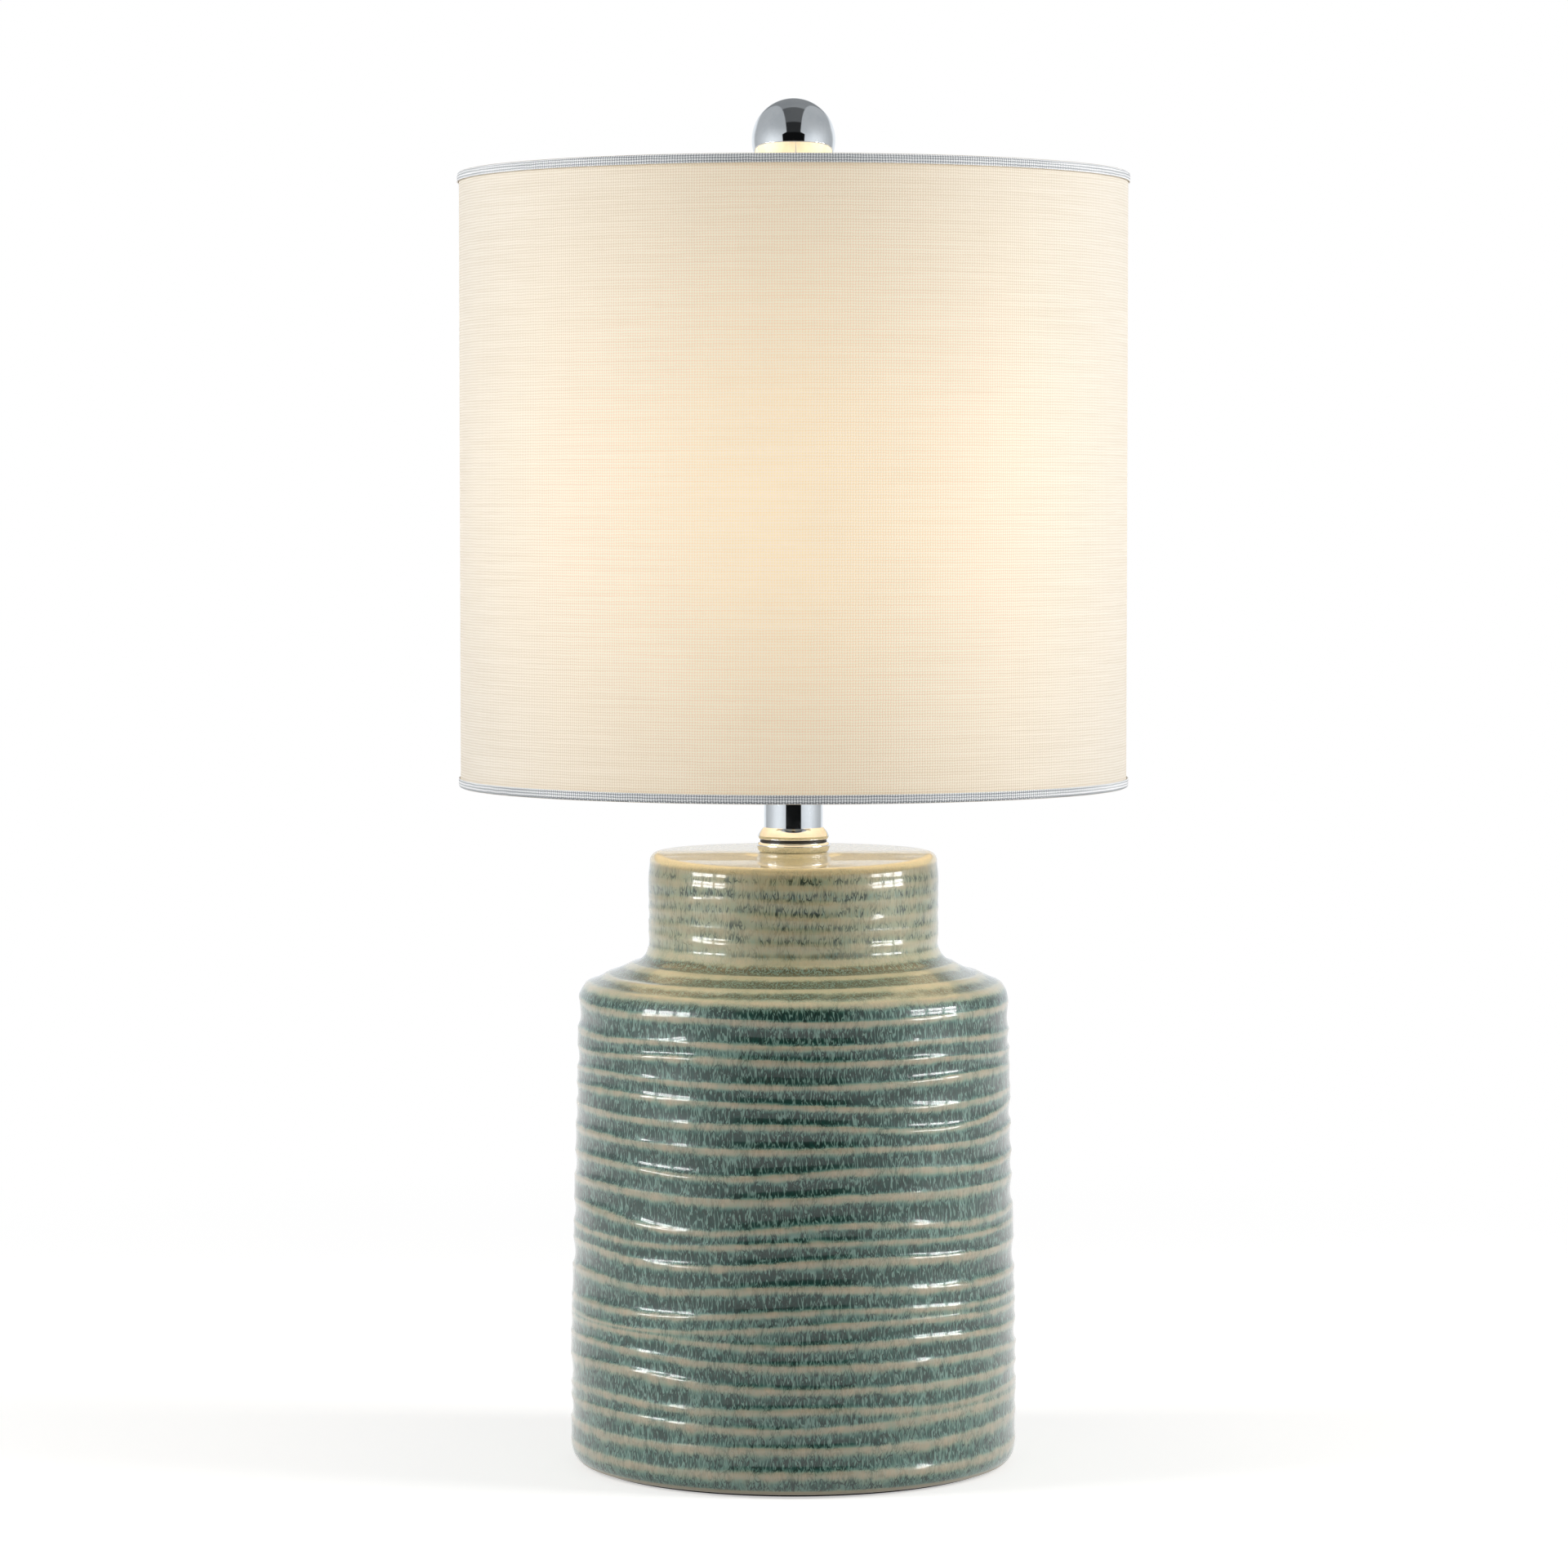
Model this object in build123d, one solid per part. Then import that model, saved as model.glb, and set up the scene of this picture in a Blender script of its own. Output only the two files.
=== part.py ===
from build123d import *
import os
from math import acos, asin, cos, degrees, radians, sin, tan

# A ribbed stoneware jar lamp with a drum shade. Millimetres, +Z up. The origin is on the lamp's
# axis, in the plane that it stands on. The harp lies in the X-Z plane, the front faces -Y and
# the cord leaves at the back, towards +Y.

# ---------------------------------------------------------------- driving dimensions
# Stoneware jar, thrown in rings and hollow
jar_top = 233.0  # seat of the neck's ring, the highest place of the jar
top_rise = 2.0  # the top swells this much from its rim to that seat
body_radius = 85.3  # widest, low on the body
body_widest = 44.0  # height of the widest place
foot_radius = 85.1  # where the foot's corner meets the body
foot_corner_width = 5.0
foot_corner_height = 7.5
shoulder_radius = 82.0  # where the body ends and the shoulder begins
shoulder_height = 177.4
shoulder_round = 7.5
shoulder_slope = 26.5  # degrees above level
neck_radius = 55.3
neck_round = 7.0  # hollow corner where the shoulder turns up into the neck
rim_round = 4.0
jar_wall = 6.0
floor_underside = 22.0  # ceiling of the recess under the jar
floor_thickness = 6.0
foot_wall = 7.0
ring_pitch = 7.8  # one throwing ring to the next
ring_depth = 0.7
neck_ring_pitch = 6.4

# Felt under the foot
felt_thickness = 1.0
felt_margin = 2.0

# Cord hole and its grommet, at the back
cord_height = 13.0
cord_bore_radius = 3.5
grommet_wall = 1.4
grommet_flange_radius = 6.6
grommet_flange_thickness = 1.6
grommet_tail = 1.5  # how far it stands out inside the recess
grommet_seat_depth = 0.9  # flat ground into the jar for the flange

# Threaded lamp pipe, 1/8 IP, with its washers and nuts
pipe_radius = 4.8
pipe_bore_radius = 3.4
pipe_below_nut = 1.8
washer_radius = 14.0
washer_thickness = 1.6
nut_across_flats = 14.3
nut_height = 4.0

# Chromed neck: check ring below, sleeve with a domed bell above
lip_radius = 11.6
lip_height = 1.2
check_ring_radius = 14.1
check_ring_height = 2.7
check_ring_round = 1.5  # of its underside
groove_radius = 12.0
groove_height = 0.5
sleeve_radius = 11.17
sleeve_wall = 0.8
sleeve_top = 272.0
bell_radius = 13.6
bell_widest = 1.6  # height of its widest place above its foot
bell_swell_width = 5.0  # half axes of the swelling outline
bell_swell_height = 4.6

# Harp saddle, ferrules and harp
saddle_strip = 1.6
saddle_width = 9.0
saddle_eye_radius = 9.5  # round eye of the saddle on the pipe
saddle_flat_half = 17.0
saddle_bend_height = 10.5  # from the strip's underside to where the arms turn upright
harp_leg_x = 32.0
ferrule_seat = 14.4  # from the saddle's underside to the shoulder that carries a ferrule
tongue_width = 5.0
tongue_length = 8.0
tongue_gap = 0.3  # between the saddle's tongue and the harp's flattened end
ferrule_radius = 3.9
ferrule_bore = 3.0
ferrule_length = 16.0
harp_wire_radius = 1.6
harp_leg_straight = 29.0  # above the tongues
harp_bow_rise = 25.0
harp_half_width = 50.0
harp_side_height = 75.0
harp_top_half = 30.0
harp_bow_radius = 40.0
harp_side_radius = 60.0
harp_top_radius = 26.0
harp_eye_length = 22.0
harp_eye_width = 8.0
stud_thread_radius = 3.1
stud_head_radius = 4.6
stud_head_height = 1.6
stud_seat_radius = 9.0
stud_seat_height = 2.0
stud_pilot_radius = 5.3
stud_pilot_height = 1.3
stud_thread_length = 10.0

# Lamp holder
cap_hub_radius = 7.5
cap_hub_height = 4.4
cap_radius = 17.2
cap_cone_height = 5.4
cap_rim_height = 7.0
cap_wall = 0.8
holder_shell_height = 46.5
holder_shell_wall = 0.6
liner_wall = 0.6
liner_below_top = 3.0
interior_radius = 14.2
interior_height = 19.5
interior_flange_height = 2.0
screw_shell_height = 24.0
screw_shell_wall = 0.5
contact_length = 12.0
contact_width = 5.0
contact_thickness = 0.6

# Turn switch on the front of the lamp holder
switch_height = 11.5  # above the underside of the holder's interior
switch_shaft_radius = 2.4
switch_shaft_depth = 6.0
switch_shaft_reach = 8.0  # outside the shell
switch_knob_radius = 5.5
switch_knob_length = 14.0
switch_knob_socket = 3.0
switch_knob_collar = 4.5  # round part between the shaft and the flats

# Bulb with a 26 mm screw cap
bulb_cap_radius = 13.0
bulb_cap_height = 24.0
bulb_tip_radius = 4.5
bulb_tip_shoulder = 10.5
bulb_tip_height = 3.4
housing_foot_radius = 14.2
housing_height = 42.0
globe_radius = 29.5
globe_cut_angle = -18.0  # where the globe meets its housing, below the globe's equator

# Drum shade
shade_radius = 127.0
shade_bottom = 258.0
shade_height = 231.4
hem_thickness = 0.4
hem_height = 4.0
linen_thickness = 0.6
styrene_thickness = 0.8
frame_wire = 2.2
frame_inset = 0.6  # from the shade's edge to the ring
fitter_arm_radius = 1.2
fitter_arm_angles = (-84.0, 36.0, 156.0)
fitter_arm_level = 108.0  # how far out an arm runs level before it rises to the ring
fitter_hub_radius = 15.0
fitter_hub_thickness = 1.6
fitter_drop = 8.6  # from the upper ring down to the hub's underside

# Ball finial
finial_ball_radius = 15.8
finial_neck_radius = 6.8
finial_neck_height = 7.1  # from the insert's flange to where the ball swells out
insert_flange_radius = 7.6
insert_flange_height = 1.2
insert_barrel_radius = 5.0
insert_barrel_height = 9.8
finial_bore_spare = 0.4

# Clearances
pipe_clearance = 0.4  # jar around the pipe
thread_clearance = 0.05  # a thread that is drawn as a plain fit
running_clearance = 0.05
bulb_clearance = 0.35
hub_clearance = 0.3

round_band = 30.0  # degrees of each straight band of a small turned round
ball_band = 15.0  # and of a turned ball

# ---------------------------------------------------------------- heights up the stack
jar_foot = felt_thickness
floor_top = floor_underside + floor_thickness
lower_washer_z = floor_underside - washer_thickness
lower_nut_z = lower_washer_z - nut_height
pipe_bottom = lower_nut_z - pipe_below_nut
check_ring_z = jar_top + lip_height
sleeve_z = check_ring_z + check_ring_height + groove_height
upper_washer_z = sleeve_top
saddle_z = upper_washer_z + washer_thickness
upper_nut_z = saddle_z + saddle_strip
cap_z = upper_nut_z + nut_height
pipe_top = cap_z + cap_hub_height
interior_z = pipe_top + cap_cone_height
shell_z = interior_z + interior_flange_height
shell_top = shell_z + holder_shell_height
contact_z = interior_z + interior_height
switch_z = interior_z + switch_height
bulb_z = contact_z + contact_thickness
bulb_cap_z = bulb_z + bulb_tip_height
housing_z = bulb_cap_z + bulb_cap_height
globe_centre = housing_z + housing_height - globe_radius * sin(radians(globe_cut_angle))
ferrule_z = saddle_z + ferrule_seat
tongue_top = ferrule_z + tongue_length
harp_foot = tongue_top + tongue_gap
bow_z = harp_foot + harp_leg_straight
side_z = bow_z + harp_bow_rise
side_top = side_z + harp_side_height
shade_top = shade_bottom + shade_height
hub_z = shade_top - frame_inset - frame_wire - fitter_drop
insert_z = hub_z + fitter_hub_thickness
stud_seat_z = hub_z - stud_seat_height
harp_top = stud_seat_z - saddle_strip / 2
finial_z = insert_z + insert_flange_height

# ---------------------------------------------------------------- widths that fit together
pipe_hole = pipe_radius + thread_clearance
liner_outer = cap_radius - cap_wall - thread_clearance - holder_shell_wall - thread_clearance
shell_outer = cap_radius - cap_wall - thread_clearance
screw_shell_outer = bulb_cap_radius + bulb_clearance + screw_shell_wall
linen_outer = shade_radius - hem_thickness
styrene_outer = linen_outer - linen_thickness
frame_outer = styrene_outer - styrene_thickness
grommet_radius = cord_bore_radius + grommet_wall
insert_hole = insert_barrel_radius + running_clearance


# ---------------------------------------------------------------- ways of making
def turned(outline):
    """A solid turned about the lamp's axis from the corners (radius, height) of half its section."""
    corners = [(radius, 0, height) for radius, height in outline]
    return revolve(make_face(Polyline(*corners, close=True)), Axis.Z)


def tube(outer, inner, bottom, top):
    """A turned tube or washer with square edges."""
    return turned([(inner, bottom), (outer, bottom), (outer, top), (inner, top)])


def round_bands(radius, height, width_radius, height_radius, start, end, band=round_band):
    """Corners along an elliptic round about (radius, height), angles in degrees from level outwards."""
    count = max(2, round(abs(end - start) / band))
    angles = [radians(start + (end - start) * i / count) for i in range(count + 1)]
    return [(radius + width_radius * cos(a), height + height_radius * sin(a)) for a in angles]


def flat_bar(width_x, width_y, bottom, top, centre_x=0.0):
    """A bar or leaf with a rectangular section, centred on the harp's plane."""
    bar = Box(width_x, width_y, top - bottom, align=(Align.CENTER, Align.CENTER, Align.MIN))
    return Pos(centre_x, 0, bottom) * bar


def hex_nut(bottom):
    """A lamp-pipe nut on the axis."""
    hexagon = RegularPolygon(nut_across_flats / 2, 6, major_radius=False) - Circle(pipe_hole)
    return Pos(0, 0, bottom) * extrude(hexagon, nut_height)


# ---------------------------------------------------------------- jar and base
def body_radius_at(height):
    """The body swells a little from the foot to its widest place and tapers up to the shoulder."""
    if height < body_widest:
        return foot_radius + (body_radius - foot_radius) * height / body_widest
    rise = (height - body_widest) / (shoulder_height - body_widest)
    return body_radius + (shoulder_radius - body_radius) * rise


def cord_seat_y():
    """Where the flat seat for the grommet's flange lies, ground into the back of the body."""
    return body_radius_at(cord_height) - grommet_seat_depth


def throwing_rings(low, high, pitch, radius_at):
    """Crest and groove corners of rings from low to high: ridges a pitch apart, hollows between."""
    count = round((high - low) / pitch)
    step = (high - low) / count
    corners = []
    for ring in range(count):
        crest = low + step * ring
        groove = crest + step / 2
        corners.append((radius_at(crest), crest))
        corners.append((radius_at(groove) - ring_depth, groove))
    return corners


def ceramic_jar():
    """The thrown jar: foot, ringed body, sloping shoulder, ringed neck and swelling top, hollow inside."""
    foot_top = jar_foot + foot_corner_height
    foot = round_bands(
        foot_radius - foot_corner_width, foot_top, foot_corner_width, foot_corner_height, -90, 0
    )
    body = throwing_rings(foot_top, shoulder_height, ring_pitch, body_radius_at)
    shoulder = round_bands(
        shoulder_radius - shoulder_round,
        shoulder_height,
        shoulder_round,
        shoulder_round,
        0,
        90 - shoulder_slope,
    )
    slope = radians(shoulder_slope)
    slope_radius, slope_z = shoulder[-1]
    hollow_radius = neck_radius + neck_round
    hollow_end = hollow_radius - neck_round * sin(slope)
    hollow_end_z = slope_z + (slope_radius - hollow_end) * tan(slope)
    hollow_z = hollow_end_z + neck_round * cos(slope)
    hollow = round_bands(hollow_radius, hollow_z, neck_round, neck_round, -90 - shoulder_slope, -180)
    rim_top = jar_top - top_rise
    rim_z = rim_top - rim_round
    neck = throwing_rings(hollow_z, rim_z, neck_ring_pitch, lambda height: neck_radius)
    rim = round_bands(neck_radius - rim_round, rim_z, rim_round, rim_round, 0, 90)
    hole = pipe_radius + pipe_clearance
    inner_neck = neck_radius - ring_depth - jar_wall
    inner_body = shoulder_radius - ring_depth - jar_wall
    inside = [
        (lip_radius, jar_top),
        (hole, jar_top),
        (hole, jar_top - jar_wall),
        (lip_radius, jar_top - jar_wall),
        (inner_neck, rim_top - jar_wall),
        (inner_neck, hollow_z - jar_wall),
        (inner_body, shoulder_height - jar_wall / 2),
        (inner_body, floor_top),
        (hole, floor_top),
        (hole, floor_underside),
        (foot_radius - foot_wall, floor_underside),
        (foot_radius - foot_wall, jar_foot),
    ]
    jar = turned(foot + body[1:] + shoulder + hollow[:-1] + neck + rim + inside)
    cord_hole = Pos(0, foot_radius, cord_height) * Rot(90, 0, 0) * Cylinder(
        grommet_radius + thread_clearance, 4 * foot_wall
    )
    seat = Pos(0, cord_seat_y(), cord_height) * Rot(-90, 0, 0) * Cylinder(
        grommet_flange_radius + pipe_clearance,
        foot_wall,
        align=(Align.CENTER, Align.CENTER, Align.MIN),
    )
    return jar - cord_hole - seat


def base_felt_pad():
    """Felt disc glued under the foot, closing the recess."""
    radius = foot_radius - foot_corner_width - felt_margin
    return Cylinder(radius, felt_thickness, align=(Align.CENTER, Align.CENTER, Align.MIN))


def cord_grommet():
    """Flanged bush in the cord hole, turned about the hole's own axis and laid towards the back."""
    tail = foot_wall - grommet_seat_depth + grommet_tail
    bush = turned(
        [
            (cord_bore_radius, -tail),
            (grommet_radius, -tail),
            (grommet_radius, 0),
            (grommet_flange_radius, 0),
            (grommet_flange_radius, grommet_flange_thickness),
            (cord_bore_radius, grommet_flange_thickness),
        ]
    )
    return Pos(0, cord_seat_y(), cord_height) * Rot(-90, 0, 0) * bush


def lamp_rod():
    """Threaded pipe that clamps the stack from the recess to the lamp holder and carries the leads."""
    return tube(pipe_radius, pipe_bore_radius, pipe_bottom, pipe_top)


def rod_washers():
    """Two alike: one under the jar's floor, one on the neck sleeve."""
    washers = [
        tube(washer_radius, pipe_hole, bottom, bottom + washer_thickness)
        for bottom in (lower_washer_z, upper_washer_z)
    ]
    return Compound(children=washers)


def rod_nuts():
    """Two alike: one in the recess, one on the harp saddle."""
    return Compound(children=[hex_nut(bottom) for bottom in (lower_nut_z, upper_nut_z)])


# ---------------------------------------------------------------- neck
def neck_check_ring():
    """Turned ring on the jar's top: a small lip, the ring with a round underside, and the groove
    under the sleeve."""
    underside = round_bands(
        check_ring_radius - check_ring_round,
        check_ring_z + check_ring_round,
        check_ring_round,
        check_ring_round,
        -90,
        0,
    )
    return turned(
        [
            (pipe_hole, jar_top),
            (lip_radius, jar_top),
            (lip_radius, check_ring_z),
            *underside,
            (check_ring_radius, check_ring_z + check_ring_height),
            (groove_radius, check_ring_z + check_ring_height),
            (groove_radius, sleeve_z),
            (pipe_hole, sleeve_z),
        ]
    )


def neck_sleeve():
    """Spun tube with a domed bell at its foot, which meets the tube in a crease."""
    bell_centre = bell_radius - bell_swell_width
    bell = round_bands(
        bell_centre,
        sleeve_z + bell_widest,
        bell_swell_width,
        bell_swell_height,
        -degrees(asin(bell_widest / bell_swell_height)),
        degrees(acos((sleeve_radius - bell_centre) / bell_swell_width)),
    )
    return turned(
        [(sleeve_radius - sleeve_wall, sleeve_z)]
        + bell
        + [(sleeve_radius, sleeve_top), (sleeve_radius - sleeve_wall, sleeve_top)]
    )


# ---------------------------------------------------------------- harp
def harp_saddle():
    """Bent strip clamped on the pipe, with an upright arm and a tongue for each end of the harp."""
    arm_x = harp_leg_x + saddle_strip / 2
    underside = Polyline(
        (-arm_x, ferrule_seat),
        (-arm_x, saddle_bend_height),
        (-saddle_flat_half, 0),
        (saddle_flat_half, 0),
        (arm_x, saddle_bend_height),
        (arm_x, ferrule_seat),
    )
    section = make_face(offset(underside, saddle_strip, side=Side.LEFT, kind=Kind.INTERSECTION))
    strip = Pos(0, 0, saddle_z) * extrude(Plane.XZ * section, saddle_width / 2, both=True)
    strip += tube(saddle_eye_radius, pipe_hole, saddle_z, upper_nut_z)
    strip -= Pos(0, 0, saddle_z) * Cylinder(pipe_hole, 4 * saddle_strip)
    tongues = [
        flat_bar(saddle_strip, tongue_width, saddle_z + saddle_bend_height, tongue_top, side * harp_leg_x)
        for side in (-1, 1)
    ]
    return strip + tongues


def harp_ferrule(side):
    """Sleeve that locks one end of the harp on its tongue, on the side of the given sign."""
    sleeve = tube(ferrule_radius, ferrule_bore, ferrule_z, ferrule_z + ferrule_length)
    return Pos(side * harp_leg_x, 0, 0) * sleeve


def harp_wire():
    """Spring wire loop: flat ends in the ferrules, legs that bow out, and a flat eye at the top."""
    end_top = harp_foot + tongue_length
    right = [
        (harp_top_half, harp_top),
        (harp_half_width, side_top),
        (harp_half_width, side_z),
        (harp_leg_x, bow_z),
        (harp_leg_x, end_top - harp_wire_radius),
    ]
    route = [(-x, 0, z) for x, z in reversed(right)] + [(x, 0, z) for x, z in right]
    half_radii = [harp_bow_radius, harp_bow_radius, harp_side_radius, harp_top_radius]
    path = FilletPolyline(*route, radius=half_radii + half_radii[::-1])
    section = Plane(path @ 0, z_dir=path % 0) * RegularPolygon(harp_wire_radius, 8)
    wire = sweep(section, path=path)
    ends = [
        flat_bar(saddle_strip, tongue_width, harp_foot, end_top, side * harp_leg_x)
        for side in (-1, 1)
    ]
    eye = flat_bar(harp_eye_length, harp_eye_width, harp_top - saddle_strip / 2, stud_seat_z)
    hole = Pos(0, 0, harp_top) * Cylinder(stud_thread_radius + thread_clearance, 3 * harp_wire_radius)
    gap_bottom = harp_top - 2 * harp_wire_radius
    gap = flat_bar(harp_eye_length, harp_eye_width, gap_bottom, stud_seat_z + saddle_strip)
    return wire - gap + ends + (eye - hole)


def harp_stud():
    """Riveted stud: head below the eye, seat for the shade, pilot in its hub, thread for the finial."""
    eye_bottom = harp_top - saddle_strip / 2
    pilot_z = stud_seat_z + stud_seat_height
    thread_z = pilot_z + stud_pilot_height
    return turned(
        [
            (0, eye_bottom - stud_head_height),
            (stud_head_radius, eye_bottom - stud_head_height),
            (stud_head_radius, eye_bottom),
            (stud_thread_radius, eye_bottom),
            (stud_thread_radius, stud_seat_z),
            (stud_seat_radius, stud_seat_z),
            (stud_seat_radius, pilot_z),
            (stud_pilot_radius, pilot_z),
            (stud_pilot_radius, thread_z),
            (stud_thread_radius, thread_z),
            (stud_thread_radius, thread_z + stud_thread_length),
            (0, thread_z + stud_thread_length),
        ]
    )


# ---------------------------------------------------------------- lamp holder
def socket_cap():
    """Spun cup that screws on the pipe and takes the holder's shell."""
    return turned(
        [
            (pipe_hole, cap_z),
            (cap_hub_radius, cap_z),
            (cap_hub_radius, pipe_top - cap_wall),
            (cap_radius, interior_z - cap_wall),
            (cap_radius, interior_z + cap_rim_height),
            (cap_radius - cap_wall, interior_z + cap_rim_height),
            (cap_radius - cap_wall, interior_z),
            (cap_hub_radius, pipe_top),
            (pipe_hole, pipe_top),
        ]
    )


def switch_hole(radius):
    """Cutter for the switch shaft's way out at the front."""
    return Pos(0, -cap_radius, switch_z) * Rot(90, 0, 0) * Cylinder(radius, cap_radius)


def socket_shell():
    """Outer shell of the lamp holder."""
    shell = tube(shell_outer, shell_outer - holder_shell_wall, shell_z, shell_top)
    return shell - switch_hole(switch_shaft_radius + bulb_clearance)


def socket_liner():
    """Fibre sleeve that insulates the shell."""
    liner = tube(liner_outer, liner_outer - liner_wall, shell_z, shell_top - liner_below_top)
    return liner - switch_hole(switch_shaft_radius + bulb_clearance)


def socket_interior():
    """Moulded switch body with a flange that carries the shell, bored for the switch's shaft."""
    block = turned(
        [
            (0, interior_z),
            (shell_outer, interior_z),
            (shell_outer, shell_z),
            (interior_radius, shell_z),
            (interior_radius, contact_z),
            (0, contact_z),
        ]
    )
    bore = Pos(0, -interior_radius, switch_z) * Rot(90, 0, 0) * Cylinder(
        switch_shaft_radius + running_clearance, 2 * switch_shaft_depth
    )
    return block - bore


def screw_shell():
    """Screw shell that takes the bulb's cap, standing on the interior."""
    top = contact_z + screw_shell_height
    return tube(screw_shell_outer, screw_shell_outer - screw_shell_wall, contact_z, top)


def centre_contact():
    """Brass leaf under the tip of the bulb."""
    return flat_bar(contact_length, contact_width, contact_z, bulb_z)


def switch_shaft():
    """Shaft from the switch body out through the shell."""
    length = switch_shaft_depth + shell_outer - interior_radius + switch_shaft_reach
    shaft = Cylinder(switch_shaft_radius, length, align=(Align.CENTER, Align.CENTER, Align.MIN))
    return Pos(0, switch_shaft_depth - interior_radius, switch_z) * Rot(90, 0, 0) * shaft


def switch_knob():
    """Tapered thumb knob with two flats, pushed on the shaft."""
    knob = turned(
        [
            (0, switch_knob_socket),
            (switch_shaft_radius, switch_knob_socket),
            (switch_shaft_radius, 0),
            (switch_knob_radius, 0),
            (switch_knob_radius, switch_knob_length),
            (0, switch_knob_length),
        ]
    )
    grip = Box(
        2 * switch_knob_radius,
        switch_knob_radius,
        switch_knob_length,
        align=(Align.CENTER, Align.MIN, Align.MIN),
    )
    flat = switch_knob_radius / 2
    for side in (0, 180):
        knob -= Rot(0, 0, side) * Pos(0, flat, switch_knob_collar) * grip
    knob_y = -shell_outer - switch_shaft_reach + switch_knob_socket
    return Pos(0, knob_y, switch_z) * Rot(90, 0, 0) * knob


# ---------------------------------------------------------------- bulb
def bulb_contact():
    """Insulator and tip contact at the bottom of the bulb."""
    return turned(
        [(0, bulb_z), (bulb_tip_radius, bulb_z), (bulb_tip_shoulder, bulb_cap_z), (0, bulb_cap_z)]
    )


def bulb_cap():
    """Screw cap, drawn as its plain barrel."""
    barrel = Cylinder(bulb_cap_radius, bulb_cap_height, align=(Align.CENTER, Align.CENTER, Align.MIN))
    return Pos(0, 0, bulb_cap_z) * barrel


def bulb_housing():
    """White housing that widens in a hollow curve from the cap to the globe."""
    cut = radians(globe_cut_angle)
    width = globe_radius * cos(cut) - housing_foot_radius
    flare = round_bands(
        housing_foot_radius + width, housing_z, width, housing_height, 180, 90
    )
    return turned([(0, housing_z)] + flare + [(0, housing_z + housing_height)])


def bulb_globe():
    """Frosted globe."""
    dome = round_bands(0, globe_centre, globe_radius, globe_radius, globe_cut_angle, 90, ball_band)
    return turned(dome + [(0, dome[0][1])])


# ---------------------------------------------------------------- shade
def shade_fabric():
    """Linen drum, laminated on the styrene."""
    return tube(linen_outer, styrene_outer, shade_bottom, shade_top)


def shade_liner():
    """Translucent styrene drum that stiffens the linen."""
    return tube(styrene_outer, frame_outer, shade_bottom, shade_top)


def shade_hem(bottom):
    """Folded strip of the same linen round one edge."""
    return tube(shade_radius, linen_outer, bottom, bottom + hem_height)


def shade_bottom_ring():
    """Wire ring in the lower hem."""
    ring_z = shade_bottom + frame_inset
    return tube(frame_outer, frame_outer - frame_wire, ring_z, ring_z + frame_wire)


def shade_top_frame():
    """Upper ring with three welded arms and the hub that sits on the harp."""
    ring_z = shade_top - frame_inset - frame_wire
    frame = tube(frame_outer, frame_outer - frame_wire, ring_z, ring_z + frame_wire)
    hub_hole = stud_pilot_radius + hub_clearance
    frame += tube(fitter_hub_radius, hub_hole, hub_z, insert_z)
    arm_z = hub_z + fitter_hub_thickness / 2
    run = Polyline(
        (fitter_hub_radius - fitter_arm_radius, 0, arm_z),
        (fitter_arm_level, 0, arm_z),
        (frame_outer - frame_wire / 2, 0, ring_z + frame_wire / 2),
    )
    section = Plane(run @ 0, z_dir=(1, 0, 0)) * Circle(fitter_arm_radius)
    arm = sweep(section, path=run, transition=Transition.RIGHT)
    for angle in fitter_arm_angles:
        frame += Rot(0, 0, angle) * arm
    return frame


# ---------------------------------------------------------------- finial
def finial_insert():
    """Threaded brass bush whose flange clamps the shade's hub."""
    return turned(
        [
            (stud_thread_radius + running_clearance, insert_z),
            (insert_flange_radius, insert_z),
            (insert_flange_radius, finial_z),
            (insert_barrel_radius, finial_z),
            (insert_barrel_radius, finial_z + insert_barrel_height),
            (stud_thread_radius + running_clearance, finial_z + insert_barrel_height),
        ]
    )


def finial_ball():
    """Polished ball on a short neck, bored for the insert."""
    join_angle = -degrees(acos(finial_neck_radius / finial_ball_radius))
    centre = finial_z + finial_neck_height - finial_ball_radius * sin(radians(join_angle))
    ball = round_bands(0, centre, finial_ball_radius, finial_ball_radius, join_angle, 90, ball_band)
    bore_top = finial_z + insert_barrel_height + finial_bore_spare
    return turned(
        [
            (0, bore_top),
            (insert_hole, bore_top),
            (insert_hole, finial_z),
            (finial_neck_radius, finial_z),
        ]
        + ball
    )


parts = {
    "ceramic_jar": ceramic_jar(),
    "base_felt_pad": base_felt_pad(),
    "cord_grommet": cord_grommet(),
    "lamp_rod": lamp_rod(),
    "rod_washers": rod_washers(),
    "rod_nuts": rod_nuts(),
    "neck_check_ring": neck_check_ring(),
    "neck_sleeve": neck_sleeve(),
    "harp_saddle": harp_saddle(),
    "harp_ferrule_left": harp_ferrule(-1),
    "harp_ferrule_right": harp_ferrule(1),
    "harp_wire": harp_wire(),
    "harp_stud": harp_stud(),
    "socket_cap": socket_cap(),
    "socket_shell": socket_shell(),
    "socket_liner": socket_liner(),
    "socket_interior": socket_interior(),
    "screw_shell": screw_shell(),
    "centre_contact": centre_contact(),
    "switch_shaft": switch_shaft(),
    "switch_knob": switch_knob(),
    "bulb_contact": bulb_contact(),
    "bulb_cap": bulb_cap(),
    "bulb_housing": bulb_housing(),
    "bulb_globe": bulb_globe(),
    "shade_fabric": shade_fabric(),
    "shade_liner": shade_liner(),
    "shade_hem_top": shade_hem(shade_top - hem_height),
    "shade_hem_bottom": shade_hem(shade_bottom),
    "shade_top_frame": shade_top_frame(),
    "shade_bottom_ring": shade_bottom_ring(),
    "finial_insert": finial_insert(),
    "finial_ball": finial_ball(),
}

os.makedirs("parts", exist_ok=True)
for name, part in parts.items():
    export_step(part, f"parts/{name}.step")
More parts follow.
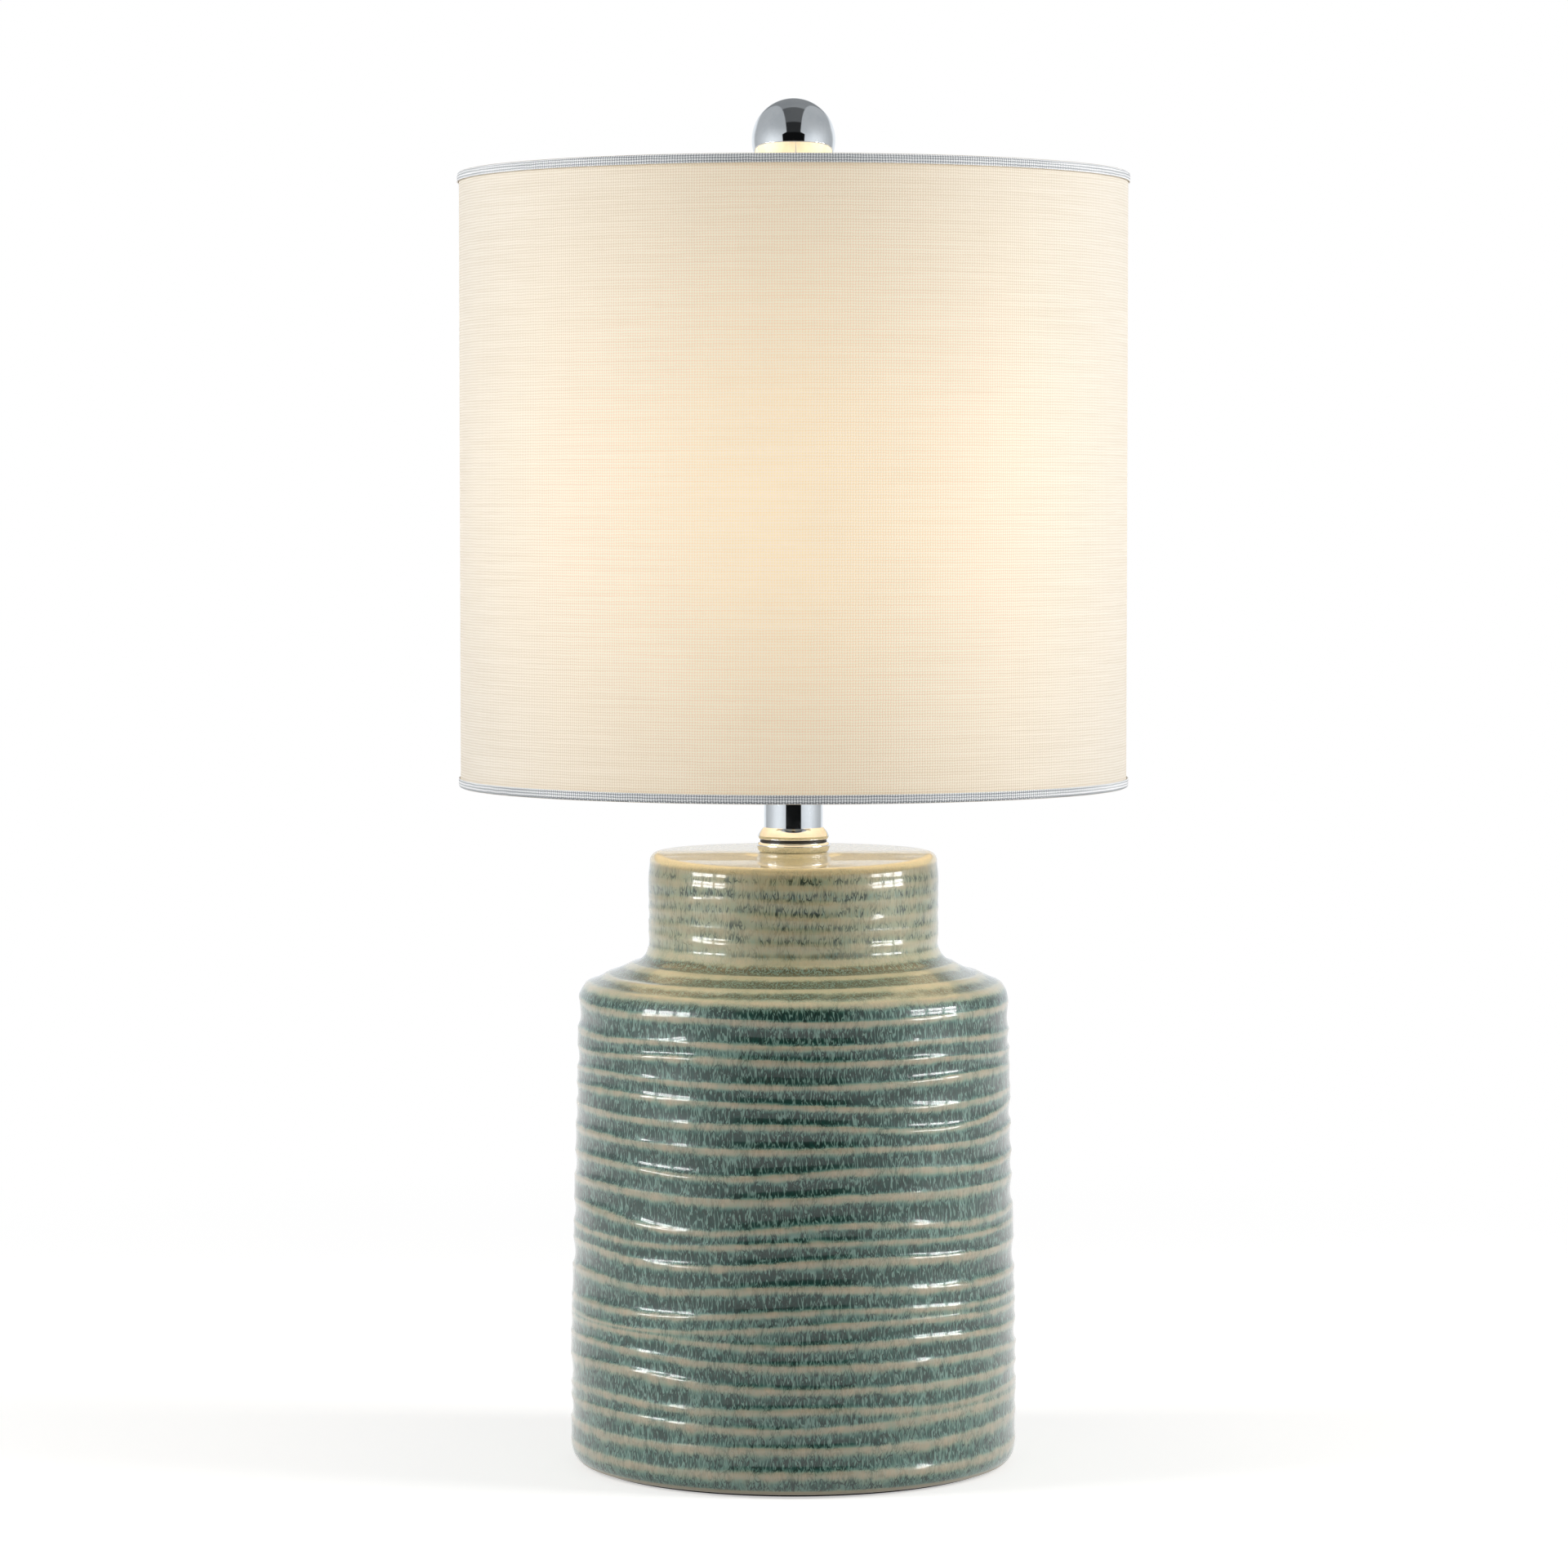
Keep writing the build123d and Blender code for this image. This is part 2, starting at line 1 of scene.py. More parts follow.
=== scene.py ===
# %% [markdown]
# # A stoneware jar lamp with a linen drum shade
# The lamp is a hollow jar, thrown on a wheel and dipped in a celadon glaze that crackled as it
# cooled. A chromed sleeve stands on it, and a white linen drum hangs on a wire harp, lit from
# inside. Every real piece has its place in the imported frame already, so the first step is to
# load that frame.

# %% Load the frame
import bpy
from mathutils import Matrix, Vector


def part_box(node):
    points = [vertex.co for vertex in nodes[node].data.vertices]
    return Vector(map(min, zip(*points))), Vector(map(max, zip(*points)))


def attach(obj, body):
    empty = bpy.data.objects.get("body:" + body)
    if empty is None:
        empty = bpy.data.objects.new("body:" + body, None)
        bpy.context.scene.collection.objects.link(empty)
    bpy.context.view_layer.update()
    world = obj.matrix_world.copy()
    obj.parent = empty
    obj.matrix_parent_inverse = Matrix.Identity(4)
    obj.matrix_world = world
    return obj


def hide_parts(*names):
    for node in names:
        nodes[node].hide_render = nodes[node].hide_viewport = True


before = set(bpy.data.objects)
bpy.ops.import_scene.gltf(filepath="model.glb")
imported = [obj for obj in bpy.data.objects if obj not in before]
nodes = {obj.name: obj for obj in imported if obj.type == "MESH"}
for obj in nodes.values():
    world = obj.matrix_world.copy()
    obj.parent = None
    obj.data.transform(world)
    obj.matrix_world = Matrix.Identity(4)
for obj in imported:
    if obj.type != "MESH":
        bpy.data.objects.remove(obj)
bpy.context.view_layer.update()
print("nodes in the frame:", len(nodes))

# %% [markdown]
# The frame is in metres and a potter or a metal turner thinks in millimetres, so lengths below
# are written in millimetres and turned to metres in one place, where a mesh is made. Everything
# that looks uneven, such as the rings, comes from one seeded generator, so each run is the same.

# %% Units
import math
from functools import partial

import bmesh
import bpy
import numpy as np

MM = 0.001
TURN = 2 * math.pi
by_hand = np.random.default_rng(31)


def ends(node):
    """Heights of the lowest and the highest point of a frame node, in millimetres."""
    return [corner.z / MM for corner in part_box(node)]


print("lamp height, mm:", round(ends("finial_ball")[1], 1))

# %% [markdown]
# ## Making surfaces
# Nearly every piece here is a grid of points that is worked out with numpy: a profile turned
# about the lamp's axis, or a section carried along a wire. One function turns such grids into
# a mesh. It joins the last line of a grid to its first, merges points that coincide, which
# closes poles and seams, and turns the faces outwards.

# %% Lay a skin over grids of points
CRISP = math.radians(40)


def add_object(name, data):
    """New object in the scene."""
    thing = bpy.data.objects.new(name, data)
    bpy.context.scene.collection.objects.link(thing)
    return thing


def lay_skin(name, grids, body, finish, stands_for=(), values=None):
    """Mesh from grids of points (rows, columns, xyz in mm). Each grid closes in both directions:
    its last row meets its first and its last column meets its first. values holds one number
    per point for each named attribute. Edges that turn by more than CRISP stay crisp."""
    points, faces, start = [], [], 0
    for grid in grids:
        rows, columns = grid.shape[:2]
        row, column = np.meshgrid(np.arange(rows), np.arange(columns), indexing="ij")
        row_on, column_on = (row + 1) % rows, (column + 1) % columns
        corners = [(row, column), (row, column_on), (row_on, column_on), (row_on, column)]
        faces.append(start + np.stack([r * columns + c for r, c in corners], -1).reshape(-1, 4))
        points.append(grid.reshape(-1, 3))
        start += rows * columns
    mesh = bpy.data.meshes.new(name)
    mesh.from_pydata(np.concatenate(points) * MM, [], np.concatenate(faces).tolist())
    for label, numbers in (values or {}).items():
        mesh.attributes.new(label, "FLOAT", "POINT").data.foreach_set("value", numbers.ravel())
    shape = bmesh.new()
    shape.from_mesh(mesh)
    bmesh.ops.remove_doubles(shape, verts=shape.verts, dist=0.00002)
    bmesh.ops.dissolve_degenerate(shape, edges=shape.edges, dist=0.000001)
    bmesh.ops.recalc_face_normals(shape, faces=shape.faces)
    shape.to_mesh(mesh)
    shape.free()
    mesh.shade_smooth()
    mesh.set_sharp_from_angle(angle=CRISP)
    mesh.materials.append(finish)
    piece = add_object(name, mesh)
    if stands_for:
        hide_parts(*stands_for)
    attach(piece, body)
    print(name, "faces:", len(mesh.polygons))
    return piece


# %% [markdown]
# A profile is a list of (radius, height) corners. Real corners are never knife sharp: a polished
# edge catches the light because it is a little round. The first helper rounds every corner. The
# others give a ring's section, an arc and points at even steps, turn a profile about the axis,
# which makes a closed profile a closed, hollow body, and thicken a line to a strip.

# %% Round a profile's corners, and turn it
def eased(corners, size, closed=True, steps=6):
    """Rounded polyline. At each corner p, a curve runs from a point a on the edge before it to a
    point b on the edge after it, (1-t)^2 a + 2t(1-t) p + t^2 b. size is how far a and b are from
    the corner, as one number or one for each corner, never more than 45 % of an edge."""
    p = np.asarray(corners, float)
    size = np.broadcast_to(np.asarray(size, float), len(p))[:, None]
    before, after = np.roll(p, 1, 0) - p, np.roll(p, -1, 0) - p
    reach_before = np.linalg.norm(before, axis=1, keepdims=True)
    reach_after = np.linalg.norm(after, axis=1, keepdims=True)
    a = p + before * np.minimum(size / reach_before, 0.45)
    b = p + after * np.minimum(size / reach_after, 0.45)
    t = np.linspace(0, 1, steps)[None, :, None]
    curve = (1 - t) ** 2 * a[:, None] + 2 * t * (1 - t) * p[:, None] + t**2 * b[:, None]
    middle = curve if closed else curve[1:-1]
    middle = middle.reshape(-1, p.shape[1])
    return middle if closed else np.concatenate([p[:1], middle, p[-1:]])


def band(inner, outer, low, high, size, steps=6):
    """Closed section of a ring that is a rectangle with rounded corners."""
    return eased([(inner, low), (outer, low), (outer, high), (inner, high)], size, steps=steps)


def arc(radius, level, width, rise, start, end, count=12):
    """Points of an elliptic arc about (radius, level), angles in degrees from level outwards."""
    angle = np.radians(np.linspace(start, end, count))
    return np.stack([radius + width * np.cos(angle), level + rise * np.sin(angle)], -1)


def even_steps(line, count):
    """Distances at even steps along a line of points, and the points there."""
    travel = np.append(0, np.cumsum(np.linalg.norm(np.diff(line, axis=0), axis=1)))
    along = np.linspace(0, travel[-1], count)
    return along, np.stack([np.interp(along, travel, line[:, i]) for i in (0, 1)], -1)


def turned(profile, columns=96):
    """Grid of a profile turned about the axis: (r cos a, r sin a, z) for each point and angle."""
    profile = np.asarray(profile, float)
    angle = np.arange(columns) * TURN / columns
    radius = profile[:, :1]
    level = np.broadcast_to(profile[:, 1:], (len(profile), columns))
    return np.stack([radius * np.cos(angle), radius * np.sin(angle), level], -1)


def as_strip(line, thickness):
    """Closed section of a bent strip: the line moved half its thickness to either side of it."""
    line = np.asarray(line, float)
    along = np.gradient(line, axis=0)
    across = np.stack([-along[:, 1], along[:, 0]], -1)
    across *= thickness / 2 / np.linalg.norm(across, axis=1, keepdims=True)
    return np.concatenate([line + across, (line - across)[::-1]])


# %% [markdown]
# ## Mixing finishes
# A finish is a small network of shader nodes. Colours are picked as sRGB hex values, as one
# reads them off a screen, and the shader wants linear light, so one function converts them.
# One more function adds a node, gives it its settings and links or fills its sockets. Noise
# takes its scale as 1 / size, where size is about how wide its lumps are in millimetres.

# %% Colours and nodes
def linear(code):
    """sRGB hex to linear light: c/12.92 below 0.04045, else ((c + 0.055)/1.055)^2.4."""
    parts = [int(code[i : i + 2], 16) / 255 for i in (1, 3, 5)]
    return (*(c / 12.92 if c <= 0.04045 else ((c + 0.055) / 1.055) ** 2.4 for c in parts), 1.0)


def add_node(tree, kind, *values, out=0, **settings):
    """Adds a node, or a Math node if kind is one of its operations, and sets its properties.
    values fill its sockets in order, or by name or number if they come as a dict: an output is
    linked, a hex code is turned to linear light, and anything else is written as it is. Returns
    the chosen output, or the node if out is None."""
    if kind.isupper():
        kind, settings["operation"] = "Math", kind
    node = tree.nodes.new("ShaderNode" + kind)
    for key, value in settings.items():
        setattr(node, key, value)
    by_place = not (values and isinstance(values[0], dict))
    for key, value in (dict(enumerate(values)) if by_place else values[0]).items():
        if isinstance(value, bpy.types.NodeSocket):
            tree.links.new(value, node.inputs[key])
        else:
            node.inputs[key].default_value = linear(value) if isinstance(value, str) else value
    return node if out is None else node.outputs[out]


def start_finish(name):
    """New material. Returns it, the function that puts a node into it, and its own coordinates
    counted in millimetres."""
    finish = bpy.data.materials.new(name)
    finish.use_nodes = True
    finish.node_tree.nodes.clear()
    put = partial(add_node, finish.node_tree)
    place = put("TexCoord", out=3)
    return finish, put, put("VectorMath", place, (1 / MM,) * 3, operation="MULTIPLY")


def close_finish(put, shader, sockets):
    """Ends a finish with a shader."""
    put("OutputMaterial", put(shader, sockets), out=None)


SOFT = {"interpolation_type": "SMOOTHSTEP"}  # MapRange with soft ends
COLOUR = {"data_type": "RGBA", "out": 2}  # Mix of two colours, which are its sockets 6 and 7
print("linear of mid grey:", [round(c, 3) for c in linear("#808080")])

# %% [markdown]
# ### Crackle glaze
# A celadon glaze is a thick, clear, slightly green glass over pale stoneware. On the crest of a
# throwing ring it is thin and the cream clay shows through; in a hollow it pools and looks deep
# teal. On cooling the glass shrinks more than the clay and cracks, here in short, nearly upright
# strokes that ink has stained, some leaning left and some right. The mesh carries an attribute
# that says how deep the glaze lies, so colour follows form; near the foot it is turned down, which
# is painted light from the floor. The colour also holds painted light and shade: pale cream on the
# top and the shoulder slope, part of the dark olive in the slope's pools, and pale glints on the
# cracks. The crackled body is a little hazy and a sharp clear coat lies over it, so the mirrored
# windows are small and crisp. The real strokes are 0.6 to 1.2 mm apart; they are drawn 1.2 and
# 1.9 mm apart, because finer ones would melt together at the size of the picture.

# %% Crackle glaze over stoneware
def strokes(put, place, apart, tall, twist, width):
    """Crack lines, for the inked cracks and for the painted glints: the lines where a noise that is
    drawn out upwards crosses its middle, 1 on a line and 0 between. Lines are about apart mm from
    each other and tall times longer, and the noise turns about the axis by twist degrees for each
    mm of height, so that they lean."""
    level = put("SeparateXYZ", place, out=2)
    turn = put("MULTIPLY", level, math.radians(twist))
    leaning = put("VectorRotate", {"Vector": place, "Angle": turn}, rotation_type="Z_AXIS")
    squash = (1 / apart, 1 / apart, 1 / (apart * tall))
    drawn = put("VectorMath", leaning, squash, operation="MULTIPLY")
    rise = put("TexNoise", {"Vector": drawn, "Scale": 1.0, "Detail": 1.0})
    off = put("ABSOLUTE", put("SUBTRACT", rise, 0.5))
    return put("MapRange", off, width * 0.3, width, 1.0, 0.0, **SOFT)


def crackle_glaze():
    """Colour by depth, then painted light: pale cream on the top and the shoulder slope, partly
    painted dark olive in the slope's pools and glints on cracks; then the inked cracks and the bare
    foot.
    """
    finish, put, place = start_finish("celadon_crackle_glaze")
    pool_with_floor_light = put("Attribute", attribute_name="pool_with_floor_light", out=2)
    level = put("SeparateXYZ", place, out=2)
    cloud = put("TexNoise", {"Vector": place, "Scale": 1 / 22.0, "Detail": 3.0})
    patch = put("TexNoise", {"Vector": place, "Scale": 1 / 6.0})
    share = put("MULTIPLY_ADD", cloud, 1.5, put("MULTIPLY_ADD", patch, 0.5, 0.05))
    depth = put("MULTIPLY_ADD", pool_with_floor_light, share, put("MULTIPLY_ADD", patch, 0.5, -0.14), use_clamp=True)
    tones = [(0.0, "#b3a48b"), (0.14, "#a19c86"), (0.30, "#82937f"), (0.50, "#55766a"),
             (0.76, "#234f45"), (1.0, "#08352d")]
    ramp = put("ValToRGB", depth, out=None)
    for _ in tones[2:]:
        ramp.color_ramp.elements.new(1.0)
    for stop, (place_on_ramp, tone) in zip(ramp.color_ramp.elements, tones):
        stop.position, stop.color = place_on_ramp, linear(tone)
    glass = ramp.outputs["Color"]
    neck = put("MapRange", level, 178.0, 190.0, **SOFT)
    glass = put("Mix", {0: put("MULTIPLY", neck, 0.50), 6: glass, 7: "#aba989"}, **COLOUR)
    slope = put("MULTIPLY", put("MapRange", level, 178.5, 183.0, **SOFT),
                put("MapRange", level, 203.0, 197.0, **SOFT))
    # Pale cream on the top and, a little, on the shoulder slope is painted light: the shade's warm
    # glow and its golden reflection there.
    crown_edge = (228.0, 230.0)
    top_and_slope = put("MAXIMUM", slope, put("MapRange", level, *crown_edge, **SOFT))
    painted_glow_share = put("MapRange", level, *crown_edge, 0.22, 0.9, **SOFT)
    glass = put("Mix", {0: put("MULTIPLY", top_and_slope, painted_glow_share), 6: glass, 7: "#ddd6b6"}, **COLOUR)
    # Dark olive in the deep pools of the shoulder slope: partly the glaze pooled there, partly
    # painted dark reflection in the hollows.
    pool_and_painted_dark = put("MULTIPLY", put("MULTIPLY", slope, 0.75), put("MapRange", depth, 0.3, 0.8, **SOFT))
    glass = put("Mix", {0: pool_and_painted_dark, 6: glass, 7: "#2c331d"}, **COLOUR)
    wide = strokes(put, place, 1.9, 4.0, 0.10, 0.045)
    close = strokes(put, place, 1.2, 5.0, -0.14, 0.055)
    gaps = put("TexNoise", {"Vector": place, "Scale": 1 / 5.0})
    broken = put("MapRange", gaps, 0.30, 0.52, **SOFT)
    lines = put("MULTIPLY", put("MAXIMUM", wide, close), broken)
    lines = put("MULTIPLY", lines, put("MULTIPLY_ADD", top_and_slope, -0.6, 1.0))
    # Pale strokes along some cracks are painted glints, strongest in the deep pools.
    glints = strokes(put, place, 1.3, 5.0, 0.04, 0.075)
    lit = put("MULTIPLY", glints, put("MapRange", depth, 0.25, 0.8, 0.14, 0.72, **SOFT))
    glass = put("Mix", {0: lit, 6: glass, 7: "#7fa094"}, **COLOUR)
    inked = put("MULTIPLY", lines, put("MapRange", depth, 0.02, 0.50, 0.16, 0.95, **SOFT))
    glass = put("Mix", {0: inked, 6: glass, 7: "#06261f"}, **COLOUR)
    bare = put("MapRange", level, 3.4, 2.2, **SOFT)
    colour = put("Mix", {0: bare, 6: glass, 7: "#a89f88"}, **COLOUR)
    relief = put("MULTIPLY_ADD", lines, -0.010, put("MULTIPLY", patch, 0.05))
    bump = put("Bump", {"Height": relief, "Strength": 0.5, "Distance": MM})
    close_finish(put, "BsdfPrincipled", {
        "Base Color": colour,
        "Roughness": 0.36,
        "IOR": 1.45,
        "Normal": bump,
        "Specular IOR Level": 0.50,
        "Coat Weight": put("SUBTRACT", 1.0, bare),
        "Coat Roughness": 0.03,
        "Coat IOR": 1.40,
        "Coat Normal": bump,
    })
    return finish


glaze = crackle_glaze()
print("made", glaze.name)

# %% [markdown]
# ### Metals
# Chrome is a mirror with a faint cool tint. Nickel is warmer and a little duller, zinc plate is
# matt and cloudy, and brass is yellow. All of them are one idea: a metal base whose roughness
# changes a little over the surface, where hands and cloths have rubbed it, and very fine marks
# from the lathe or the rolling mill.

# %% Polished, plated and turned metals
def metal(name, tint, stain, smooth, rough, mark, mark_depth):
    """Metal whose colour drifts from tint to stain and whose roughness drifts from smooth to
    rough. mark is the spacing in mm of the tool's rings and mark_depth their depth in mm."""
    finish, put, place = start_finish(name)
    wear = put("TexNoise", {"Vector": place, "Scale": 1 / 7.0, "Detail": 4.0, "Roughness": 0.6})
    rubbed = put("MapRange", wear, 0.35, 0.7, **SOFT)
    level = put("SeparateXYZ", place, out=2)
    rings = put("SINE", put("MULTIPLY", level, TURN / mark))
    grit = put("TexNoise", {"Vector": place, "Scale": 1 / 0.35, "Detail": 1.0})
    relief = put("MULTIPLY_ADD", rings, mark_depth, put("MULTIPLY", grit, mark_depth))
    bump = put("Bump", {"Height": relief, "Strength": 1.0, "Distance": MM})
    close_finish(put, "BsdfPrincipled", {
        "Base Color": put("Mix", {0: rubbed, 6: tint, 7: stain}, **COLOUR),
        "Metallic": 1.0,
        "Roughness": put("MapRange", rubbed, 0.0, 1.0, smooth, rough),
        "Normal": bump,
    })
    return finish


chrome = metal("polished_chrome_plate", "#edf0f2", "#e2e6e9", 0.03, 0.07, 0.9, 0.0002)
nickel = metal("nickel_plated_steel", "#cfcabf", "#b9b3a6", 0.20, 0.34, 1.1, 0.001)
spun_nickel = metal("spun_nickel_shell", "#cdcbc4", "#bbb8b0", 0.16, 0.28, 0.7, 0.0015)
zinc = metal("zinc_plated_steel", "#c3c7cb", "#a9adb0", 0.28, 0.46, 0.94, 0.004)
brass = metal("turned_brass", "#d8b468", "#b98f4a", 0.20, 0.36, 0.8, 0.002)
rolled_brass = metal("rolled_brass_shell", "#d2b06a", "#c09a56", 0.22, 0.36, 1.3, 0.001)
print("metals:", [m.name for m in (chrome, nickel, spun_nickel, zinc, brass, rolled_brass)])

# %% [markdown]
# ### Plain plastics, paint, felt and board
# Moulded parts are never one flat colour: flow, dust and wear shift it slightly, and the mould's
# fine spark texture breaks the highlight. Felt and fibre board are matted hairs, so their noise
# is stretched and their relief is deeper.

# %% Moulded, painted and matted finishes
def body_colour(name, tint, shade, rough, grain, relief_mm, stretch=(1.0, 1.0, 1.0), sheen=0.0):
    """Opaque finish. grain is the size in mm of its texture and relief_mm its height."""
    finish, put, place = start_finish(name)
    drift = put("TexNoise", {"Vector": place, "Scale": 1 / 14.0, "Detail": 3.0})
    stretched = put("VectorMath", place, stretch, operation="MULTIPLY")
    hairs = {"Vector": stretched, "Scale": 1 / grain, "Detail": 4.0, "Roughness": 0.6}
    texture = put("TexNoise", hairs)
    mixed = put("MULTIPLY_ADD", texture, 0.5, put("MULTIPLY", drift, 0.5))
    mixed = put("MapRange", mixed, 0.35, 0.65, **SOFT)
    relief = put("MULTIPLY", texture, relief_mm)
    close_finish(put, "BsdfPrincipled", {
        "Base Color": put("Mix", {0: mixed, 6: tint, 7: shade}, **COLOUR),
        "Roughness": put("MapRange", texture, 0.3, 0.7, rough - 0.06, rough + 0.06, **SOFT),
        "Sheen Weight": sheen,
        "Normal": put("Bump", {"Height": relief, "Strength": 1.0, "Distance": MM}),
    })
    return finish


felt = body_colour("pressed_wool_felt", "#3a3a3c", "#26262a", 0.94, 0.7, 0.20, (1.0, 0.4, 1.0), 0.4)
nylon = body_colour("moulded_black_nylon", "#222326", "#1a1b1d", 0.42, 0.5, 0.01)
phenolic = body_colour("moulded_phenolic", "#2a2320", "#1c1816", 0.24, 0.6, 0.006)
fibre = body_colour("vulcanised_fibre", "#8d7a5f", "#73614a", 0.70, 0.6, 0.03, (1.0, 1.0, 0.2))
powder_coat = body_colour("white_powder_coat", "#eceae4", "#dedcd5", 0.38, 0.45, 0.02)
white_plastic = body_colour("moulded_white_plastic", "#f1f0ec", "#e6e4df", 0.30, 0.8, 0.006)
glass_insulator = body_colour("black_glass_insulator", "#15161a", "#0e0f12", 0.10, 1.5, 0.01)
print("plain finishes:", felt.name, nylon.name, phenolic.name, fibre.name, powder_coat.name)

# %% [markdown]
# ### Linen, unlit and lit
# The cloth is a plain weave: warp threads stand upright, weft threads run round, and each passes
# over one and under the next. Some weft threads are thicker, which gives linen its slubs. The
# real threads are 0.75 mm apart; they are drawn 1.0 mm apart so that the picture can hold them.
# The pattern reads the cloth's own UV map, which is in millimetres round and up the drum.
# The lit cloth also gives off light. A small bulb at distance R from a wall lights the wall by
# 1 / (1 + (h/R)^2)^1.5, where h is the height above or below the brightest band, and the bulb's
# lit panels add eight soft lobes round the drum. Seen aslant, the threads hide one another and
# let less light through, so the glow fades towards the drum's sides. Hems are folded double and
# stay unlit.

# %% Plain weave
THREAD = 1.0
drum_radius = 127.0
drum_low, drum_high = ends("shade_fabric")
bright_level = 366.0


def weave(put):
    """Height from 0 in the holes to 1 on top of a thread. Over a thread's width it is |sin|, and
    along it 0.55 + 0.45 sin, a half turn out of step from one thread to the next."""
    cloth = put("UVMap", uv_map="cloth")
    count = put("VectorMath", cloth, (1 / THREAD,) * 3, operation="MULTIPLY")
    sway = put("TexNoise", {"Vector": cloth, "Scale": 1 / 6.0})
    across, up = (put("MULTIPLY_ADD", sway, 0.5, put("SeparateXYZ", count, out=i)) for i in (0, 1))
    threads = []
    for own, other, lag in ((across, up, 0.0), (up, across, math.pi)):
        width = put("ABSOLUTE", put("SINE", put("MULTIPLY", own, math.pi)))
        turn = put("MULTIPLY", put("ADD", other, put("FLOOR", own)), math.pi)
        lift = put("SINE", put("ADD", turn, lag))
        threads.append(put("MULTIPLY", width, put("MULTIPLY_ADD", lift, 0.45, 0.55)))
    return put("MAXIMUM", *threads), cloth


def slubs(put, cloth):
    """Thick places of the weft: noise that is drawn out 60 mm along the thread, 1 mm across."""
    drawn = put("VectorMath", cloth, (1 / 60, 1 / 1.1, 1.0), operation="MULTIPLY")
    return put("TexNoise", {"Vector": drawn, "Scale": 1.0, "Roughness": 0.7})


def linen(name, thread, hole, glow):
    """Woven cloth in the colours of a thread and of the hole beside it. glow is its own light."""
    finish, put, place = start_finish(name)
    weft, cloth = weave(put)
    thick = slubs(put, cloth)
    dense = put("MULTIPLY_ADD", thick, 0.5, put("MULTIPLY", weft, 0.75))
    cover = put("MapRange", dense, 0.35, 0.95, **SOFT)
    relief = put("MULTIPLY", weft, 0.16)
    sockets = {
        "Base Color": put("Mix", {0: cover, 6: hole, 7: thread}, **COLOUR),
        "Roughness": 0.9,
        "Sheen Weight": 0.15,
        "Normal": put("Bump", {"Height": relief, "Strength": 0.6, "Distance": MM}),
    }
    if glow:
        x, y, z = (put("SeparateXYZ", place, out=i) for i in range(3))
        offset = put("MULTIPLY_ADD", z, 1 / drum_radius, -bright_level / drum_radius)
        reach = put("MULTIPLY_ADD", offset, offset, 1.0)
        fall = put("POWER", reach, -1.5)
        angle = put("ARCTAN2", y, x)
        lobes = put("COSINE", put("MULTIPLY_ADD", angle, 8.0, 0.42))
        even = put("MULTIPLY_ADD", lobes, 0.04, 1.0)
        cloud = put("TexNoise", {"Vector": place, "Scale": 1 / 30.0})
        cloudy = put("MULTIPLY_ADD", cloud, 0.16, 0.92)
        threads = put("MULTIPLY_ADD", dense, 0.22, 0.85)
        lit = put("MULTIPLY", put("MULTIPLY", fall, even), put("MULTIPLY", cloudy, threads))
        lit = put("MULTIPLY_ADD", lit, 0.58, 0.42)
        facing = put("SUBTRACT", 1.0, put("LayerWeight", {"Blend": 0.5}, out=1))
        through = put("MULTIPLY_ADD", put("POWER", facing, 2.0), 0.62, 0.38)
        tinted = {0: 1.0, 6: "#ffe0ae", 7: put("MULTIPLY", lit, through)}
        sockets["Emission Color"] = put("Mix", tinted, blend_type="MULTIPLY", **COLOUR)
        sockets["Emission Strength"] = glow
    close_finish(put, "BsdfPrincipled", sockets)
    return finish


lit_linen = linen("plain_weave_linen_lit", "#dcd9d3", "#c2bbaf", 0.55)
hem_linen = linen("plain_weave_linen_hem", "#fbfcfe", "#7d8389", 0.0)
print("linen threads, mm apart:", THREAD)

# %% [markdown]
# ### What glows inside
# The styrene liner is a smooth white sheet that the bulb floods with warm light. It is bright on
# purpose: the golden sheen on the jar's top and on the chrome bell is the mirror image of this
# liner. The drum is nearly closed, so its walls light each other and look twice as bright.

# %% Lit liner and opal globe
def glowing(name, tint, shade, rough, light, strength):
    """Lit sheet or glass. Its colour drifts from tint to shade and its light's from light to
    tint."""
    finish, put, place = start_finish(name)
    cloudy = put("TexNoise", {"Vector": place, "Scale": 1 / 22.0})
    warm = put("MapRange", cloudy, 0.3, 0.7, 0.36, 0.64, **SOFT)
    close_finish(put, "BsdfPrincipled", {
        "Base Color": put("Mix", {0: cloudy, 6: tint, 7: shade}, **COLOUR),
        "Roughness": rough,
        "Emission Color": put("Mix", {0: warm, 6: light, 7: tint}, **COLOUR),
        "Emission Strength": strength,
    })
    return finish


lit_styrene = glowing("styrene_liner_lit", "#fff0d8", "#f6efe0", 0.35, "#ffe0a8", 0.42)
opal = glowing("opal_globe_lit", "#fff3dc", "#fbf3e6", 0.30, "#ffe0ad", 3.0)
print("liner and globe glow")

# %% [markdown]
# ## The stoneware jar
# The potter raised the wall between finger and thumb, which left a ring at each turn of the
# wheel, and the rings wander, crowd and part again because a hand isn't a machine. So a plain
# turned profile comes first, from the foot over the shoulder and the neck to the hole in the
# top, and back through the hollow inside. Then each ring gets its own wavering height. Between
# two crests the wall is pushed in, deeper where the gap is wide.

